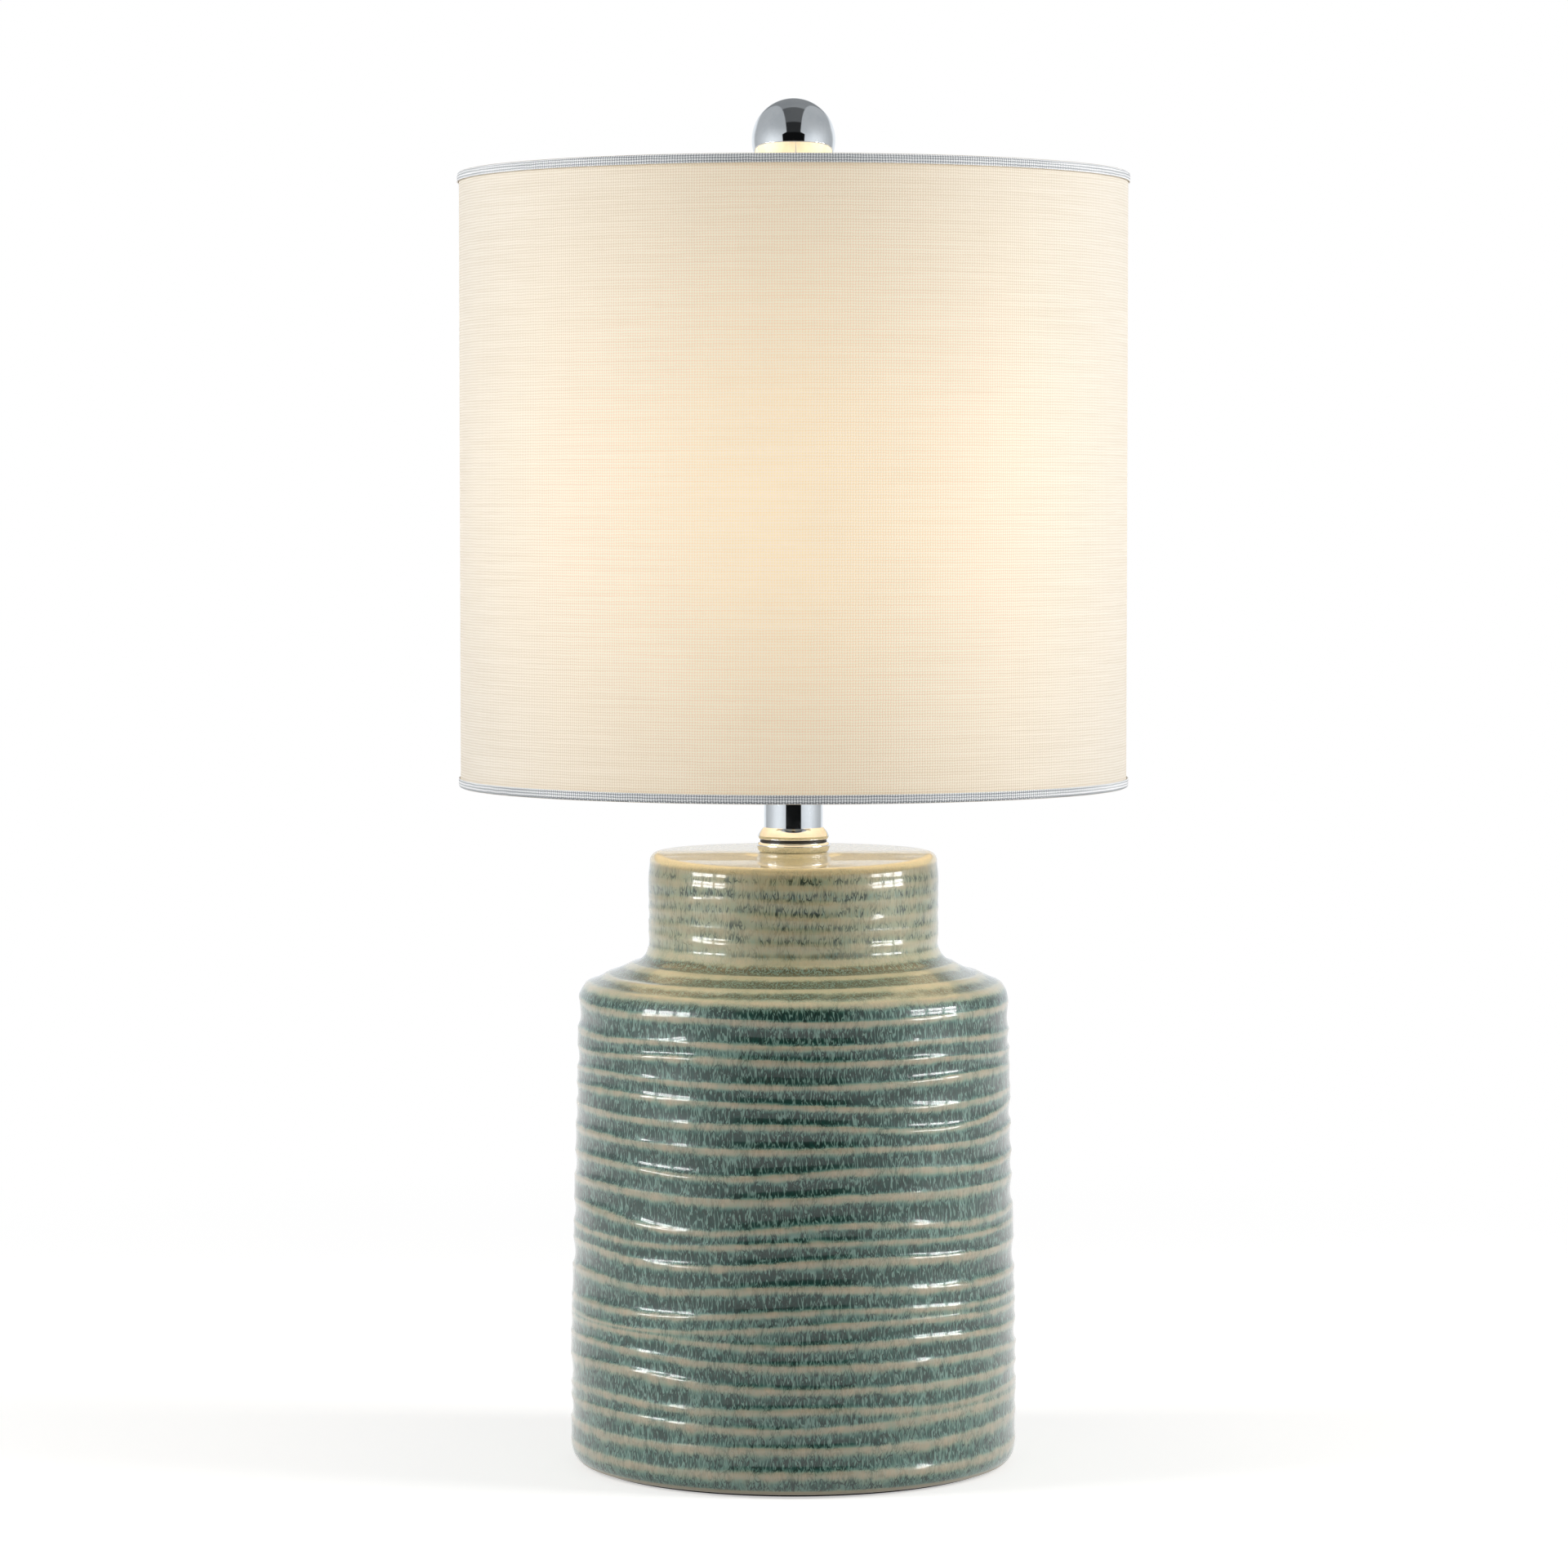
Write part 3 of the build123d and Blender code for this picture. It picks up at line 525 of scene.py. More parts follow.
# %% Outline of the jar
foot, top = ends("ceramic_jar")
outside = np.concatenate([
    arc(80.1, foot + 7.5, 5.0, 7.5, -90, 0, 10),
    [[85.3, 44.0]],
    arc(74.5, 177.4, 7.5, 7.5, 0, 63.5, 9),
    arc(62.3, 198.1, 7.0, 7.0, -116.5, -180, 9),
    arc(10.3, top - 12.0, 45.0, 45.0, 0, 9, 5),
    arc(51.28, top - 3.51, 3.51, 3.51, 15, 86, 8),
])
crown_radius = np.linspace(50.5, 12.0, 22)
crown = np.stack([crown_radius, np.full_like(crown_radius, top)], -1)
rod_hole, neck_bore, belly_bore, foot_bore = 5.2, 48.6, 75.3, 78.1
inside = np.array([
    [rod_hole, top], [rod_hole, top - 6.0], [11.6, top - 6.0], [neck_bore, top - 8.0],
    [neck_bore, 193.0], [belly_bore, 174.0], [belly_bore, 28.0], [rod_hole, 28.0],
    [rod_hole, 22.0], [foot_bore, 22.0], [foot_bore, foot],
])
ROWS_OUT, COLUMNS = 290, 306
along, skin = even_steps(outside, ROWS_OUT)
slope = np.gradient(skin, axis=0)
outward = np.stack([slope[:, 1], -slope[:, 0]], -1)
outward /= np.linalg.norm(outward, axis=1, keepdims=True)
print("outline length, mm:", round(along[-1], 1))

# %% [markdown]
# The heights of the crests on the front are known to about a millimetre. Each ring then drifts
# up and down round the jar by a sum of a few slow waves, and shares part of its drift with the
# ring below it, as the same hand made both.

# %% Rings that wander
crest_levels = np.array([
    9.2, 18.3, 25.6, 32.8, 40.1, 49.1, 56.3, 63.6, 69.0, 78.0, 87.1, 94.3, 99.7, 110.5, 119.5,
    128.5, 137.5, 144.8, 151.9, 160.9, 166.3, 175.3, 182.4, 186.6, 190.6, 195.6, 201.0, 206.2,
    211.3, 217.1, 223.8, 230.6,
])
crests = np.interp(crest_levels, skin[:, 1], along)
angle = np.arange(COLUMNS) * TURN / COLUMNS
waves = np.arange(1, 6)
shared, own = 0.60, 1.05
drift = by_hand.normal(size=(len(crests), len(waves), 2))
for ring in range(1, len(crests)):
    drift[ring] = shared * drift[ring - 1] + own * drift[ring]
round_jar = waves[:, None] * angle
drift = drift[:, :, :1] * np.cos(round_jar) + drift[:, :, 1:] * np.sin(round_jar)
drift = (drift / waves[:, None] ** 0.8).sum(1)
drift -= drift[:, [int(COLUMNS * 0.75)]]
calm = np.interp(crest_levels, [5, 30, 170, 185, 235], [0.4, 1.0, 0.9, 0.25, 0.35])
wandering = np.sort(crests[:, None] + drift * calm[:, None], axis=0)
print("rings:", len(crests), "widest drift, mm:", round(float(np.abs(drift).max()), 1))

# %% [markdown]
# For every point of the wall the nearest crest below and above is looked up. Where the point is
# in the gap between them, s, from 0 at the lower crest to 1 at the upper, gives both the dent
# and how deep the glaze has pooled. The dent is a half sine that is steeper at its lower end, as
# the potter's finger climbs. Glaze runs down before it sets, so the pool is thickest just above
# the lower crest and thins out upwards.

# %% Push in the hollows and pool the glaze
DEEPEST, USUAL_GAP = 0.64, 8.0
lines = np.concatenate([wandering[:1] - 8, wandering, wandering[-1:] + 60])
index = (along[:, None, None] > wandering.T[None]).sum(-1)
columns = np.arange(COLUMNS)[None]
lower, upper = lines[index, columns], lines[index + 1, columns]
gap = upper - lower
s = np.clip((along[:, None] - lower) / gap, 0, 1)
level = skin[:, 1:]
strength = DEEPEST * np.interp(level, [3, 12, 170, 182, 198, 206, 217, 222],
                               [0, 1, 1, 0.7, 0.6, 0.7, 0.6, 0])
dent = strength * np.sin(math.pi * s**0.72) ** 0.9 * np.clip(gap / USUAL_GAP, 0.3, 1.3)
press = by_hand.normal(size=(len(lines), 4, 2))
waving = np.arange(2, 6)[:, None] * angle
press = (press[:, :, :1] * np.cos(waving) + press[:, :, 1:] * np.sin(waving)).sum(1)
dent *= np.clip(0.82 + 0.24 * press, 0.25, 1.3)[index, columns]
lumps = by_hand.normal(size=(5, 4, 2))
uneven = sum(
    lumps[i, j, 0] / (i + j + 2) * np.cos((i + 1) * angle + 3 * lumps[i, j, 1])
    * np.cos((j + 0.5) * along[:, None] / 40.0 + lumps[i, j, 1])
    for i in range(5) for j in range(4)
)
push = -dent + 0.05 * strength * (uneven - uneven.max())
edge = np.clip((s - 0.02) / 0.27, 0, 1)
fade = np.clip((0.92 - s) / 0.55, 0, 1)
pool_with_floor_light = edge**2 * (3 - 2 * edge) * fade**2 * (3 - 2 * fade) * np.clip((gap - 2.0) / 4.5, 0.3, 1.2)
# Scaled by height. The smaller share near the foot is painted light: it makes the lower rings
# paler, as the floor's light would.
pool_with_floor_light *= np.interp(level, [2, 8, 50, 110, 176, 181, 184, 187, 194, 199, 220, 226],
                  [0.32, 0.48, 0.72, 1.05, 1.05, 0.50, 0.35, 0.90, 0.95, 0.34, 0.40, 0.26])

# %% [markdown]
# The top isn't quite level: its far half stays at the height of the chromed ring and its near
# half sinks to the rim, so it turns a little to the front. The wall is closed with the inside of
# the jar, and the cord hole at the back is cut with the same two drills as a potter would use on
# the leather-hard clay: one for the bush, one for the flat seat of its flange.

# %% Close the jar and drill the cord hole
def sunk(radius):
    """How far the top sinks at a radius: nothing behind the middle line, 3 mm at the near rim."""
    across = radius * np.sin(angle)
    fall = np.interp(across, [-52.0, -38.0, -25.0, -12.0, -4.0, 2.0, 6.0],
                     [3.10, 2.42, 1.78, 0.94, 0.38, 0.05, 0.0])
    return fall * np.clip((radius - 12.0) / 7.0, 0, 1)


radius = skin[:, :1] + outward[:, :1] * push
level = skin[:, 1:] + outward[:, 1:] * push
level -= sunk(radius) * np.clip((level - 218.0) / 13.0, 0, 1) ** 2
wall = np.stack([radius * np.cos(angle), radius * np.sin(angle), level], -1)
hollow = turned(np.concatenate([crown, inside]), COLUMNS)
hollow[: len(crown), :, 2] -= sunk(crown_radius[:, None])
grid = np.concatenate([wall, hollow])
depth = {"pool_with_floor_light": np.concatenate([pool_with_floor_light, np.full(hollow.shape[:2], 0.2)])}
jar = lay_skin("stoneware_jar", [grid], "base", glaze, ["ceramic_jar"], depth)


def drill(radius, start, end, level):
    """A cylinder along Y, to cut a hole with."""
    cutter = bmesh.new()
    bmesh.ops.create_cone(cutter, cap_ends=True, segments=48, radius1=radius * MM,
                          radius2=radius * MM, depth=(end - start) * MM)
    mesh = bpy.data.meshes.new("drill")
    cutter.to_mesh(mesh)
    cutter.free()
    tool = add_object("drill", mesh)
    tool.rotation_euler.x = math.radians(90)
    tool.location = (0, (start + end) / 2 * MM, level * MM)
    return tool


cord_level = sum(ends("cord_grommet")) / 2
bush_hole, flange_seat = 4.95, 6.8
tools = [drill(bush_hole, 60, 90, cord_level), drill(flange_seat, 84.2, 95, cord_level)]
for tool in tools:
    cut = jar.modifiers.new("cord_hole", "BOOLEAN")
    cut.object, cut.operation, cut.solver = tool, "DIFFERENCE", "EXACT"
shaped = bpy.data.meshes.new_from_object(jar.evaluated_get(bpy.context.evaluated_depsgraph_get()))
jar.modifiers.clear()
jar.data = shaped
for tool in tools:
    bpy.data.objects.remove(tool)
print("jar faces after drilling:", len(jar.data.polygons))

# %% [markdown]
# ## Under the foot
# A disc of wool felt is glued under the foot. It is a die-cut sheet, so its rim is square but
# soft, and only a thin dark line of it shows.

# %% Felt disc
felt_low, felt_high = ends("base_felt_pad")
felt_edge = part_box("base_felt_pad")[1].x / MM
disc = band(0, felt_edge, felt_low, felt_high, [0.01, 0.35, 0.35, 0.01])
lay_skin("felt_pad", [turned(disc, 120)], "base", felt, ["base_felt_pad"])

# %% [markdown]
# ## Chromed neck
# A brass ring and a spun sleeve, both chromed, carry the holder above the jar. What one sees of
# chrome is what it mirrors, so the shape has to be exact: a domed bell that meets the tube in a
# crease, rolled edges, and a narrow groove between ring and bell, painted dark with a thin black
# nylon band that stands for its shade.

# %% Check ring and bell-footed sleeve
ring_low, ring_high = ends("neck_check_ring")
check_ring = np.concatenate([
    [(4.9, ring_low), (12.4, ring_low)],
    arc(9.9, ring_low + 3.2, 4.2, 4.6, -44, -13, 12),
    [(14.06, ring_low + 2.36)],
    arc(12.3, ring_low + 2.2, 1.8, 1.55, 22, 84, 9),
    [(11.0, ring_high - 0.62), (11.0, ring_high), (4.9, ring_high)],
])
lay_skin("neck_ring", [turned(check_ring)], "base", chrome, ["neck_check_ring"])
# A thin black nylon band in the groove is painted shade: it stands for the dark of the narrow gap
# between ring and bell.
groove_shade = band(11.05, 12.7, ring_high - 0.6, ring_high - 0.02, 0.15, steps=4)
lay_skin("neck_groove_shade", [turned(groove_shade)], "base", nylon)

sleeve_low, sleeve_high = ends("neck_sleeve")
rolled_foot = arc(11.9, sleeve_low + 2.0, 1.66, 1.98, -86, -16, 10)
bell = np.array([(13.58, 1.62), (13.5, 1.86), (13.22, 2.4), (12.94, 2.9), (12.62, 3.4),
                 (12.27, 3.86), (11.98, 4.2), (11.74, 4.44), (11.5, 4.64), (11.17, 4.86)])
sleeve_bore = 10.37
sleeve = np.concatenate([
    [(sleeve_bore, sleeve_low)], rolled_foot, bell + [0, sleeve_low],
    [(11.17, sleeve_high - 0.4), (10.8, sleeve_high), (sleeve_bore, sleeve_high)],
])
lay_skin("neck_tube", [turned(sleeve)], "base", chrome, ["neck_sleeve"])

# %% [markdown]
# ## Ball finial
# The ball is turned and polished brass under chrome, on a short waist, and it is drilled from
# below for the threaded bush that screws on the harp.

# %% Finial
finial_low, finial_high = ends("finial_ball")
ball_radius = 15.8
centre = finial_high - ball_radius
bush_radius, bush_depth = 5.05, 10.4
ball = np.concatenate([
    [(0, finial_low + bush_depth), (bush_radius, finial_low + bush_depth),
     (bush_radius, finial_low + 0.1)],
    arc(6.4, finial_low + 0.4, 0.4, 0.4, -90, 0, 5),
    [(6.8, centre - 14.5)],
    arc(0, centre, ball_radius, ball_radius, -64.5, 90, 56),
])
lay_skin("ball_finial", [turned(ball, 128)], "finial", chrome, ["finial_ball"])

# %% [markdown]
# ## Wire: harp, fitter and rings
# Wire is a small ellipse carried along a path that lies in one upright plane. The same function
# draws the harp, whose round wire is hammered flat in places, and the straight arms of the
# shade's fitter.

# %% Carry a section along a path
def wire(path, wide, thick, sides=16, turn_by=0.0):
    """Grid of a wire. path holds (across, height) points in the X-Z plane; the section at each is
    wide * cos in Y and thick * sin at right angles to the path, in that plane. Both ends are
    closed by a point. turn_by turns the wire about the lamp's axis, in radians."""
    path = np.asarray(path, float)
    wide = np.broadcast_to(wide, len(path))[:, None]
    thick = np.broadcast_to(thick, len(path))[:, None]
    along = np.gradient(path, axis=0)
    along /= np.linalg.norm(along, axis=1, keepdims=True)
    angle = np.arange(sides) * TURN / sides
    x = path[:, :1] - along[:, 1:] * thick * np.sin(angle)
    z = path[:, 1:] + along[:, :1] * thick * np.sin(angle)
    y = wide * np.cos(angle)
    tips = [np.broadcast_to([path[i, 0], 0, path[i, 1]], (1, sides, 3)) for i in (0, -1)]
    grid = np.concatenate([tips[0], np.stack([x, y, z], -1), tips[1]])
    c, s = math.cos(turn_by), math.sin(turn_by)
    return grid @ np.array([[c, s, 0], [-s, c, 0], [0, 0, 1]])


# %% [markdown]
# The harp is one length of spring wire. Its two ends are hammered flat to hold in the ferrules,
# its legs bow outwards round the bulb, and its top is pressed to a flat eye for the stud.

# %% Harp
LEG, BOW = 32.0, 50.0
harp_low, harp_high = ends("harp_wire")
right_leg = [(LEG, harp_low), (LEG, harp_low + 29.0), (BOW, harp_low + 54.0),
             (BOW, harp_low + 129.0), (30.0, harp_high - 1.0), (0.0, harp_high - 1.0)]
path = np.array([(-x, z) for x, z in right_leg] + right_leg[-2::-1])
bends = [0, 12.9, 12.9, 11.6, 17.6, 1, 17.6, 11.6, 12.9, 12.9, 0]
reach, path = even_steps(eased(path, bends, closed=False, steps=14), 260)
from_end = np.minimum(reach, reach[-1] - reach)
from_top = np.abs(reach - reach[-1] / 2)
flat_end = np.clip((9.5 - from_end) / 3.0, 0, 1)
flat_top = np.clip((12.0 - from_top) / 4.0, 0, 1)
wide = 1.6 + 0.9 * flat_end + 2.4 * flat_top
thick = 1.6 - 0.8 * flat_end - 0.8 * flat_top
loop = wire(path, wide, thick, 20)
lay_skin("harp_loop", [loop], "harp", nickel, ["harp_wire"])

# %% [markdown]
# A rolled sleeve, the ferrule, slides down over each end and locks it to the saddle.

# %% Ferrules
for side, body in ((-1, "ferrule_left"), (1, "ferrule_right")):
    node = "harp_" + body
    grid = turned(band(3.0, 3.9, *ends(node), 0.3, steps=4), 48)
    grid[..., 0] += side * LEG
    lay_skin(node + "_sleeve", [grid], body, nickel, [node])

# %% [markdown]
# ## Threads
# A screw thread is a profile that climbs as it turns: the radius at height z and angle a is
# R - depth * (1 - cos(2 pi (z / pitch - a / turn))) / 2. The stud that takes the finial has the
# fine thread of lamp fittings, and the bulb's cap the coarse round one, rolled in thin metal.

# %% Threaded forms
STUD_PITCH, BULB_PITCH = 0.94, 3.629


def threaded(radius, depth, pitch, low, high, columns=48, rows_per_pitch=10):
    """Grid of a threaded length that fades out over its first and last half turn."""
    level = np.linspace(low, high, int((high - low) / pitch * rows_per_pitch) + 1)[:, None]
    angle = (np.arange(columns) * TURN / columns)[None]
    fade = np.clip(np.minimum(level - low, high - level) / (pitch / 2), 0, 1)
    cut = depth * fade * (1 - np.cos(TURN * level / pitch - angle)) / 2
    radius = radius - cut
    level = np.broadcast_to(level, radius.shape)
    return np.stack([radius * np.cos(angle), radius * np.sin(angle), level], -1)


def ring_row(radius, level, columns=48):
    """One closed row of points, to end a threaded length with."""
    return turned([(radius, level)], columns)


stud_low, stud_high = ends("harp_stud")
seat = np.array([(0, 0), (4.2, 0), (4.6, 0.4), (4.6, 1.5), (3.1, 1.6), (3.1, 3.2), (8.7, 3.2),
                 (9.0, 3.5), (9.0, 4.9), (8.7, 5.2), (5.3, 5.2), (5.3, 6.2), (5.0, 6.5)])
stud = np.concatenate([
    turned(seat + [0, stud_low], 48),
    threaded(3.1, 0.45, STUD_PITCH, stud_low + 6.6, stud_high - 0.3),
    ring_row(2.6, stud_high), ring_row(0, stud_high),
])
lay_skin("threaded_stud", [stud], "harp", brass, ["harp_stud"])

# %% [markdown]
# ## Bulb and its screw shell
# The bulb is a sealed one: a screw cap, a white housing that flares like a tulip, and a frosted
# globe that gives the light. Its cap and the holder's screw shell have the same round thread of
# 3.6 mm, so both are drawn by the same function, the shell as a thin wall round the cap.

# %% Cap, housing, globe and shell
cap_low, cap_high = ends("bulb_cap")
cap = np.concatenate([
    ring_row(0, cap_low), ring_row(10.5, cap_low), ring_row(12.6, cap_low + 0.8),
    threaded(13.0, 0.9, BULB_PITCH, cap_low + 1.2, cap_high - 4.0),
    ring_row(13.0, cap_high - 3.0), ring_row(13.0, cap_high), ring_row(0, cap_high),
])
lay_skin("bulb_screw_cap", [cap], "bulb", spun_nickel, ["bulb_cap"])

shell_low, shell_high = ends("screw_shell")
shell_out, shell_in = 13.85, 13.36
threads = [threaded(radius, 0.9, BULB_PITCH, shell_low + 1.0, shell_high - 1.0)
           for radius in (shell_out, shell_in)]
shell = np.concatenate([
    ring_row(shell_out, shell_low), threads[0], ring_row(shell_out, shell_high),
    ring_row(shell_in, shell_high), threads[1][::-1], ring_row(shell_in, shell_low),
])
lay_skin("threaded_shell", [shell], "base", rolled_brass, ["screw_shell"])

housing_low, housing_high = ends("bulb_housing")
rim = 28.06
flare = arc(rim, housing_low, rim - 14.2, housing_high - housing_low, 180, 90, 28)
housing = np.concatenate([
    [(0, housing_low), (13.6, housing_low)], flare[1:],
    [(rim - 0.4, housing_high), (0, housing_high)],
])
lay_skin("bulb_white_housing", [turned(housing)], "bulb", white_plastic,
         ["bulb_housing"])

globe_radius = 29.5
globe_high = ends("bulb_globe")[1]
dome = arc(0, globe_high - globe_radius, globe_radius, globe_radius, -18, 90, 40)
dome = np.concatenate([[(0, dome[0, 1])], dome])
lay_skin("bulb_opal_globe", [turned(dome)], "bulb", opal, ["bulb_globe"])

# %% [markdown]
# ## The drum shade
# Linen is glued to a stiff translucent sheet, and the laminate is bent round two wire rings. Its
# ends overlap by 12 mm at the back, which shows as a slight step. The cloth and the liner are
# thin closed walls, and each carries a UV map in millimetres, round and up.

# %% Drum walls
OVERLAP = 12.0
STEP = 0.35
DRUM_COLUMNS = 288


def cloth_map(piece, radius):
    """UV map in millimetres: the angle round the drum times its radius, and the height."""
    mesh = piece.data
    corners = np.empty(len(mesh.loops), int)
    mesh.loops.foreach_get("vertex_index", corners)
    points = np.empty(len(mesh.vertices) * 3)
    mesh.vertices.foreach_get("co", points)
    points = points.reshape(-1, 3)[corners] / MM
    turn = (np.arctan2(points[:, 1], points[:, 0]) - math.pi / 2) % TURN
    face = np.empty(len(mesh.polygons), int)
    mesh.polygons.foreach_get("loop_start", face)
    whole = np.repeat(np.arange(len(face)), np.diff(np.append(face, len(corners))))
    far = np.maximum.reduceat(turn, face)[whole]
    turn = np.where((far - turn) > math.pi, turn + TURN, turn)
    depth = np.hypot(points[:, 0], points[:, 1])
    flat = np.stack([turn * radius, points[:, 2] - depth], -1)
    mesh.uv_layers.new(name="cloth").data.foreach_set("uv", flat.ravel())


def drum_wall(name, outer, inner, finish, node):
    """Thin wall, with a step of the laminate's thickness where its ends overlap at the back."""
    grid = turned(band(inner, outer, drum_low, drum_high, 0.1, steps=3), DRUM_COLUMNS)
    angle = np.arange(DRUM_COLUMNS) * TURN / DRUM_COLUMNS
    from_back = np.abs((angle - math.pi / 2 + math.pi) % TURN - math.pi) * outer
    raised = np.clip((OVERLAP / 2 - from_back) / 1.5 + 0.5, 0, 1)
    grid[..., :2] -= (grid[..., :2] / outer) * (STEP * (1 - raised))[None, :, None]
    piece = lay_skin(name, [grid], "shade", finish, [node])
    cloth_map(piece, outer)
    return piece


linen_wall = drum_wall("linen_drum", 126.6, 126.05, lit_linen, "shade_fabric")
drum_wall("styrene_drum", 125.95, 125.2, lit_styrene, "shade_liner")

# %% [markdown]
# Each edge is bound with a strip of the same linen, folded over the edge and round the wire ring
# inside. In section the strip is a hook: up the outside, over the edge, down round the wire and
# back to the liner. The lower one is the same hook upside down.

# %% Rolled hems
def hem(name, edge, up, node):
    """Strip round an edge. up is 1 for the top edge and -1 for the bottom one."""
    hook = np.array([(126.8, -3.4), (126.8, -0.5), (126.0, -0.2), (123.2, -0.3), (122.2, -1.4),
                     (122.5, -3.2), (124.6, -3.9)])
    hook = eased(hook, 0.9, closed=False, steps=5)
    strip = turned(as_strip(hook * [1, up] + [0, edge], 0.4), DRUM_COLUMNS)
    piece = lay_skin(name, [strip], "shade", hem_linen, [node])
    cloth_map(piece, drum_radius)
    return piece


top_hem = hem("hem_top", drum_high, 1, "shade_hem_top")
low_hem = hem("hem_bottom", drum_low, -1, "shade_hem_bottom")

# %% [markdown]
# The fitter is a small hub on three wires, welded to the upper ring. Its hub drops below the
# ring so that only the ball of the finial stands above the shade.

# %% Wire rings and fitter
HOOP, HOOP_WIRE = 124.1, 1.1


def wire_ring(level):
    """A round wire bent to a hoop inside the drum's edge."""
    return turned(arc(HOOP, level, HOOP_WIRE, HOOP_WIRE, 0, 337.5, 16), 192)


fitter_low, fitter_high = ends("shade_top_frame")
hub = band(5.7, 15.0, fitter_low + 0.4, fitter_low + 2.0, 0.35, steps=4)
run = eased([(13.0, fitter_low + 1.2), (108.0, fitter_low + 1.2), (HOOP, fitter_high - HOOP_WIRE)],
            [0, 5, 0], closed=False, steps=9)
arms = [wire(run, 1.2, 1.2, 14, math.radians(a)) for a in (-84, 36, 156)]
lay_skin("shade_fitter", [wire_ring(fitter_high - HOOP_WIRE), turned(hub), *arms], "shade",
         powder_coat, ["shade_top_frame"])
ring_level = sum(ends("shade_bottom_ring")) / 2
lay_skin("lower_ring", [wire_ring(ring_level)], "shade", powder_coat,
         ["shade_bottom_ring"])

# %% [markdown]
# ## Nodes that keep their own shape
# The rest of the lamp is small turned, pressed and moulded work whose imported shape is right
# already. Each such node only gets the finish of its real material.

# %% Dress the carried-over nodes
kept = {
    "cord_grommet": nylon, "lamp_rod": zinc, "rod_washers": zinc, "rod_nuts": zinc,
    "harp_saddle": nickel, "socket_cap": spun_nickel, "socket_shell": spun_nickel,
    "socket_liner": fibre, "socket_interior": phenolic, "centre_contact": brass,
    "switch_shaft": brass, "switch_knob": phenolic, "bulb_contact": glass_insulator,
    "finial_insert": brass,
}
for node, finish in kept.items():
    nodes[node].data.materials.clear()
    nodes[node].data.materials.append(finish)
print("dressed:", len(kept), "replaced:", len(nodes) - len(kept))

# %% [markdown]
# ## The studio
# The lamp was photographed in a white room, in a light tent with a softbox on either side. The
# camera stands two metres off, a little above the shade's lower edge, and looks down by three
# degrees.

# %% Camera
camera = add_object("camera", bpy.data.cameras.new("camera"))
camera.location = (-3.6 * MM, -2020.2 * MM, 367.0 * MM)
camera.rotation_euler = (math.radians(90 - 3.071), 0, 0)
camera.data.lens = 122.16
camera.data.sensor_width = 36
camera.data.clip_start, camera.data.clip_end = 0.05, 60
bpy.context.scene.camera = camera
bpy.context.scene.view_settings.view_transform = "Standard"

# %% [markdown]
# The floor and the room are white for the eye and for mirrors, and the floor still takes the
# lamp's shadow: near the lamp it is a pale surface that adds a share of plain white where the
# camera sees it, and further out it fades to plain white. Light for the lamp itself comes from a
# soft, low world and from two lamps.

# %% Floor and room
def seen_directly(put):
    """1 for rays that the camera, a mirror or a glass sends out, 0 for scattered light."""
    path = put("LightPath", out=None).outputs
    seen = put("MAXIMUM", path["Is Camera Ray"], path["Is Glossy Ray"])
    return put("MAXIMUM", seen, path["Is Transmission Ray"])


def sheet_of(name, corners, finish):
    """Flat piece of the studio."""
    mesh = bpy.data.meshes.new(name)
    mesh.from_pydata(corners, [], [(0, 1, 2, 3)])
    mesh.materials.append(finish)
    card = add_object(name, mesh)
    return card


floor_paint, put, place = start_finish("white_studio_floor")
x, y = (put("SeparateXYZ", place, out=i) for i in (0, 1))
reach = put("SQRT", put("MULTIPLY_ADD", x, x, put("MULTIPLY", y, y)))
far = put("MULTIPLY", put("MapRange", reach, 180.0, 900.0, **SOFT), seen_directly(put))
dark, lift, white = (put("Emission", "#ffffff", strength) for strength in (0.0, 0.50, 1.0))
lifted = put("MixShader", seen_directly(put), dark, lift)
near = put("AddShader", put("BsdfDiffuse", "#d4d4d4"), lifted)
put("OutputMaterial", put("MixShader", far, near, white), out=None)
FAR = 12.0
corners = [(-FAR, -FAR, 0), (FAR, -FAR, 0), (FAR, FAR, 0), (-FAR, FAR, 0)]
sheet_of("floor", corners, floor_paint)

world = bpy.data.worlds.new("white_room")
bpy.context.scene.world = world
world.use_nodes = True
world.node_tree.nodes.clear()
put = partial(add_node, world.node_tree)
soft, white = put("Background", "#f4f6f8", 0.31), put("Background", "#ffffff", 1.0)
put("OutputWorld", put("MixShader", seen_directly(put), soft, white), out=None)

# %% [markdown]
# Two large rectangular lamps, one at each side, light the jar and the shade evenly.

# %% Lamps
def side_lamp(name, azimuth, elevation, width, tall, watts):
    """Lamp 1.6 m from the jar, width by tall metres. Azimuth 0 is where the camera stands."""
    lamp = add_object(name, bpy.data.lights.new(name, "AREA"))
    a, e, reach = math.radians(azimuth), math.radians(elevation), 1.6
    away = np.array([math.sin(a) * math.cos(e), -math.cos(a) * math.cos(e), math.sin(e)])
    lamp.location = np.array([0, 0, 0.22]) + reach * away
    lamp.rotation_euler = (math.radians(90 - elevation), 0, a)
    lamp.data.shape, lamp.data.size, lamp.data.size_y = "RECTANGLE", width, tall
    lamp.data.energy = watts
    lamp.data.color = (1.0, 0.99, 0.97)
    lamp.visible_camera = lamp.visible_glossy = False


side_lamp("side_lamp_left", -77, 26, 0.66, 0.9, 17.2)
side_lamp("side_lamp_right", 79, 26, 0.60, 0.9, 19.6)

# %% [markdown]
# Chrome and glaze show the room that they stand in, so the room gets a lining that only mirrors
# see: it neither lights nor shades the lamp. Its walls are grey, paler at the height of the jar,
# and white behind the lamp. In front the tent has a slot for the camera, black at its foot, that
# goes on across the ceiling and draws the dark upright stripe on the ball and the tube.

# %% Tent that only mirrors see
TENT = 2600.0


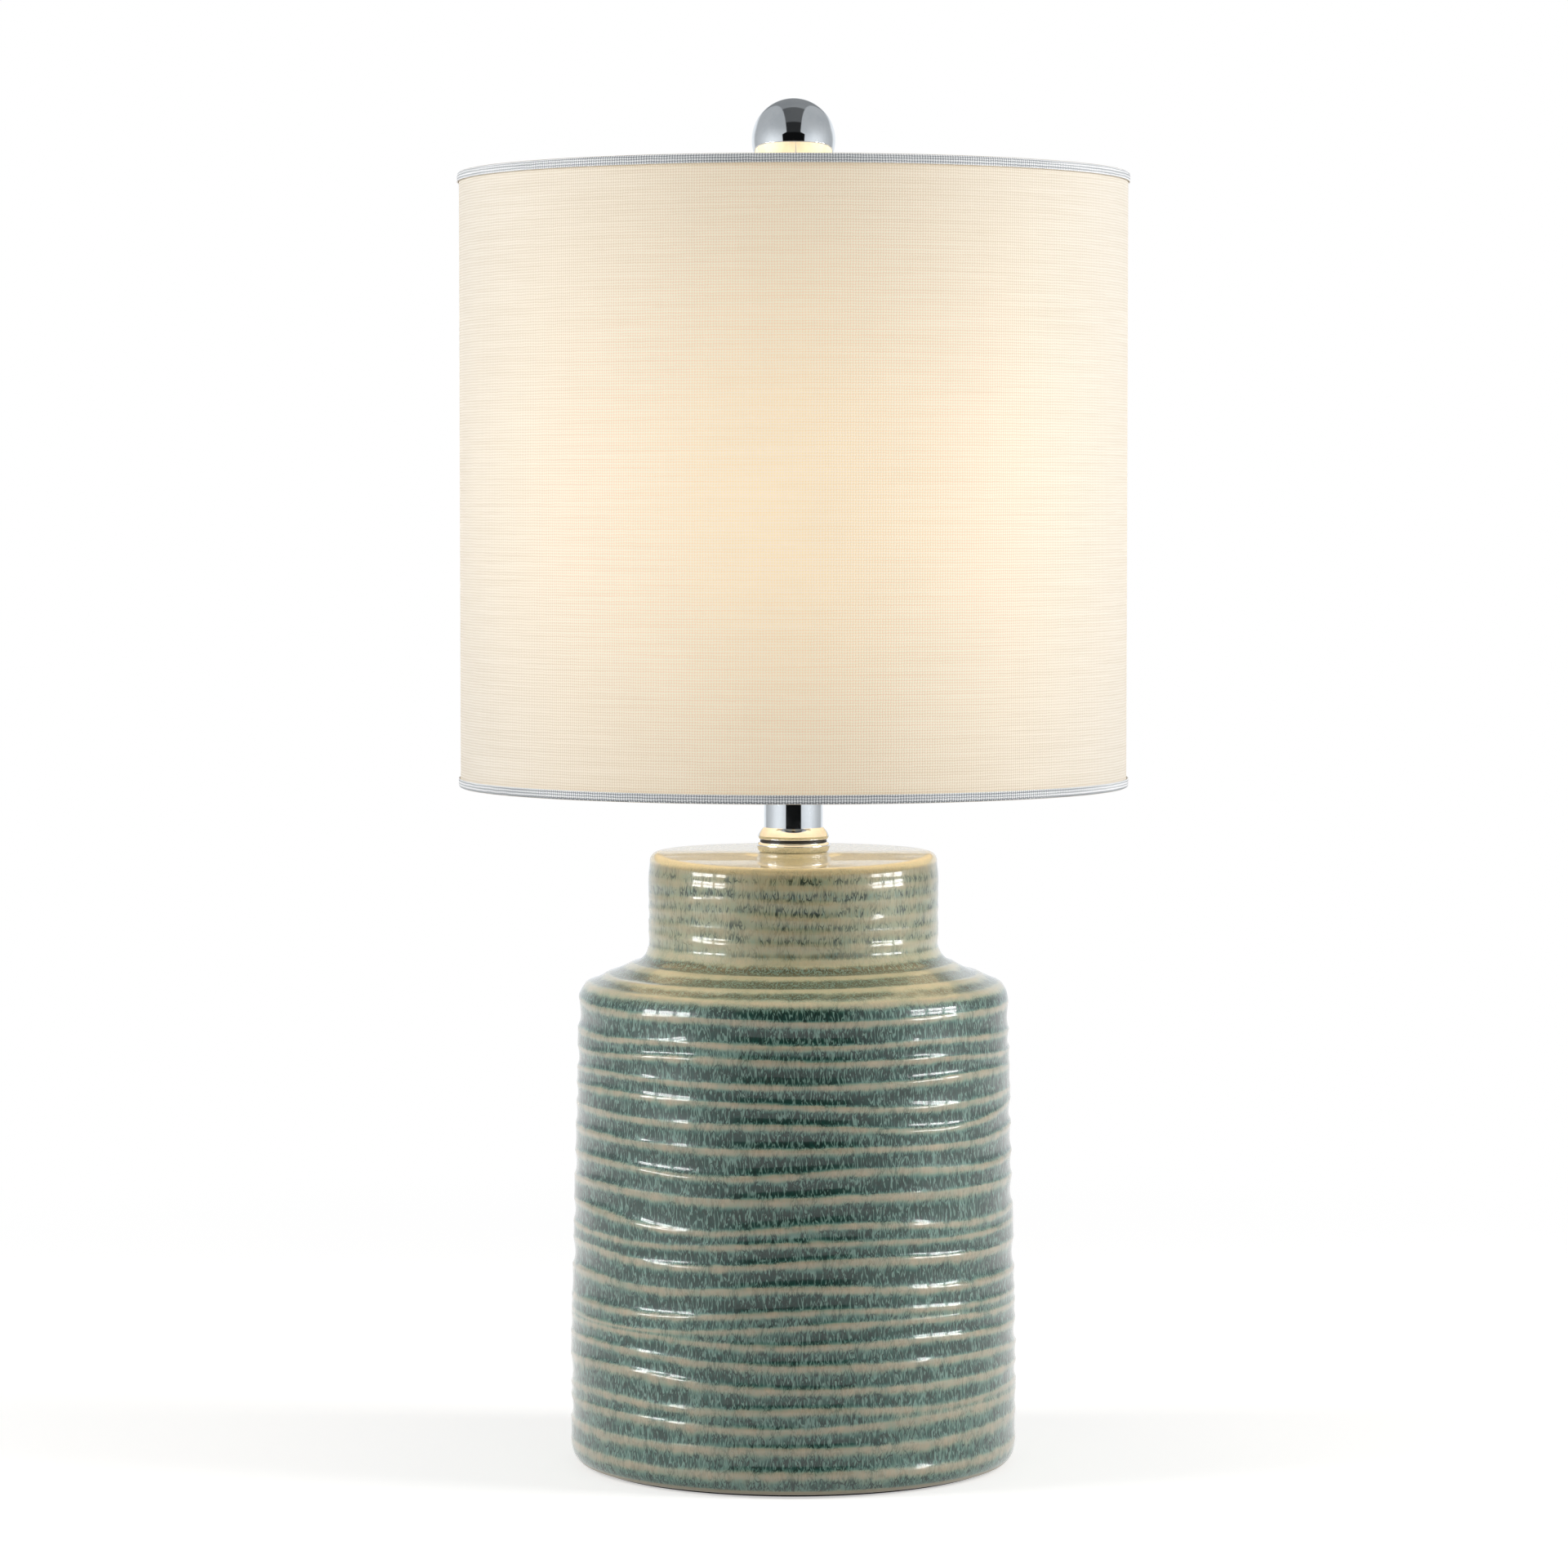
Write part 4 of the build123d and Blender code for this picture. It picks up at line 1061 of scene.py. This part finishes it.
def hill(put, value, middle, spread):
    """exp(-((value - middle) / spread)^2)."""
    off = put("MULTIPLY_ADD", value, 1 / spread, -middle / spread)
    return put("EXPONENT", put("MULTIPLY", put("MULTIPLY", off, off), -1.0))


def tent_lining():
    """Angles in degrees: side from the front round either way, up from level, and over from the
    front across the ceiling to the back. apart is the sine of the angle off the middle plane."""
    finish, put, place = start_finish("tent_lining")
    x, y, z = (put("SeparateXYZ", place, out=i) for i in range(3))
    degrees = 360 / TURN
    ahead = put("MULTIPLY", y, -1.0)
    apart = put("ABSOLUTE", put("MULTIPLY", x, 1 / TENT))
    side, over = (put("MULTIPLY", put("ABSOLUTE", put("ARCTAN2", part, ahead)), degrees)
                  for part in (x, z))
    up = put("MULTIPLY", put("ARCSINE", put("MULTIPLY", z, 1 / TENT)), degrees)
    walls = put("MULTIPLY", hill(put, side, 60.0, 40.0), hill(put, up, 0.0, 24.0))
    walls = put("MULTIPLY_ADD", walls, 0.52, 0.50)
    behind = put("MULTIPLY", put("MapRange", side, 114.0, 150.0, **SOFT),
                 put("MapRange", up, 34.0, 18.0, **SOFT))
    walls = put("MAXIMUM", walls, behind)
    slot = put("MULTIPLY_ADD", put("MapRange", over, 22.0, 26.0, **SOFT), 0.024, 0.006)
    slot = put("ADD", slot, put("MapRange", over, 50.0, 54.0, 0.0, 0.09, **SOFT))
    slot = put("ADD", slot, put("MapRange", over, 96.0, 100.0, 0.0, 0.17, **SOFT))
    past = put("SUBTRACT", apart, put("MapRange", over, 20.0, 26.0, 0.50, 0.31, **SOFT))
    inside = put("MULTIPLY", put("MapRange", past, 0.02, -0.02, **SOFT),
                 put("MapRange", over, 165.0, 150.0, **SOFT))
    light = put("MULTIPLY_ADD", put("SUBTRACT", slot, walls), inside, walls)
    close_finish(put, "Emission", {"Color": "#f3f7fb", "Strength": light})
    return finish


def only_in_mirrors(piece):
    """Stage dressing that neither the camera nor scattered light meets."""
    piece.visible_camera = piece.visible_diffuse = piece.visible_shadow = False
    piece.visible_transmission = piece.visible_volume_scatter = False


ball_of_room = bmesh.new()
bmesh.ops.create_uvsphere(ball_of_room, u_segments=96, v_segments=48, radius=TENT * MM)
mesh = bpy.data.meshes.new("tent")
ball_of_room.to_mesh(mesh)
ball_of_room.free()
mesh.materials.append(tent_lining())
tent = add_object("tent", mesh)
tent.location.z = 0.25
only_in_mirrors(tent)

# %% [markdown]
# On either side stands a softbox with three panes by two. Mirrored in the rings of the glaze,
# they make the rows of small, sharp highlights. They stand low, so the ball hardly shows them.

# %% Softboxes that only mirrors see
PANES_WIDE, PANES_TALL, PANE_LIGHT = 700.0, 190.0, 22.0


def softbox_glow():
    """Bright panes with dark bars between. The card's middle is its origin."""
    finish, put, place = start_finish("softbox_panes")
    light = PANE_LIGHT
    for axis, size, count in ((0, PANES_WIDE, 3), (1, PANES_TALL, 2)):
        along = put("SeparateXYZ", place, out=axis)
        cell = put("MULTIPLY_ADD", along, count / size, count / 2)
        bar = put("ABSOLUTE", put("SUBTRACT", put("FRACT", cell), 0.5))
        light = put("MULTIPLY", put("MapRange", bar, 0.36, 0.43, 1.0, 0.02, **SOFT), light)
    close_finish(put, "Emission", {"Color": "#ffffff", "Strength": light})
    return finish


panes = softbox_glow()
half_wide, half_tall = PANES_WIDE / 2 * MM, PANES_TALL / 2 * MM
corners = [(-half_wide, -half_tall, 0), (half_wide, -half_tall, 0),
           (half_wide, half_tall, 0), (-half_wide, half_tall, 0)]
for azimuth in (-70, 79):
    card = sheet_of("softbox", corners, panes)
    a, reach = math.radians(azimuth), 1.2
    card.location = (reach * math.sin(a), -reach * math.cos(a), 0.30)
    card.rotation_euler = (math.radians(90), 0, a)
    only_in_mirrors(card)
print("studio is up")
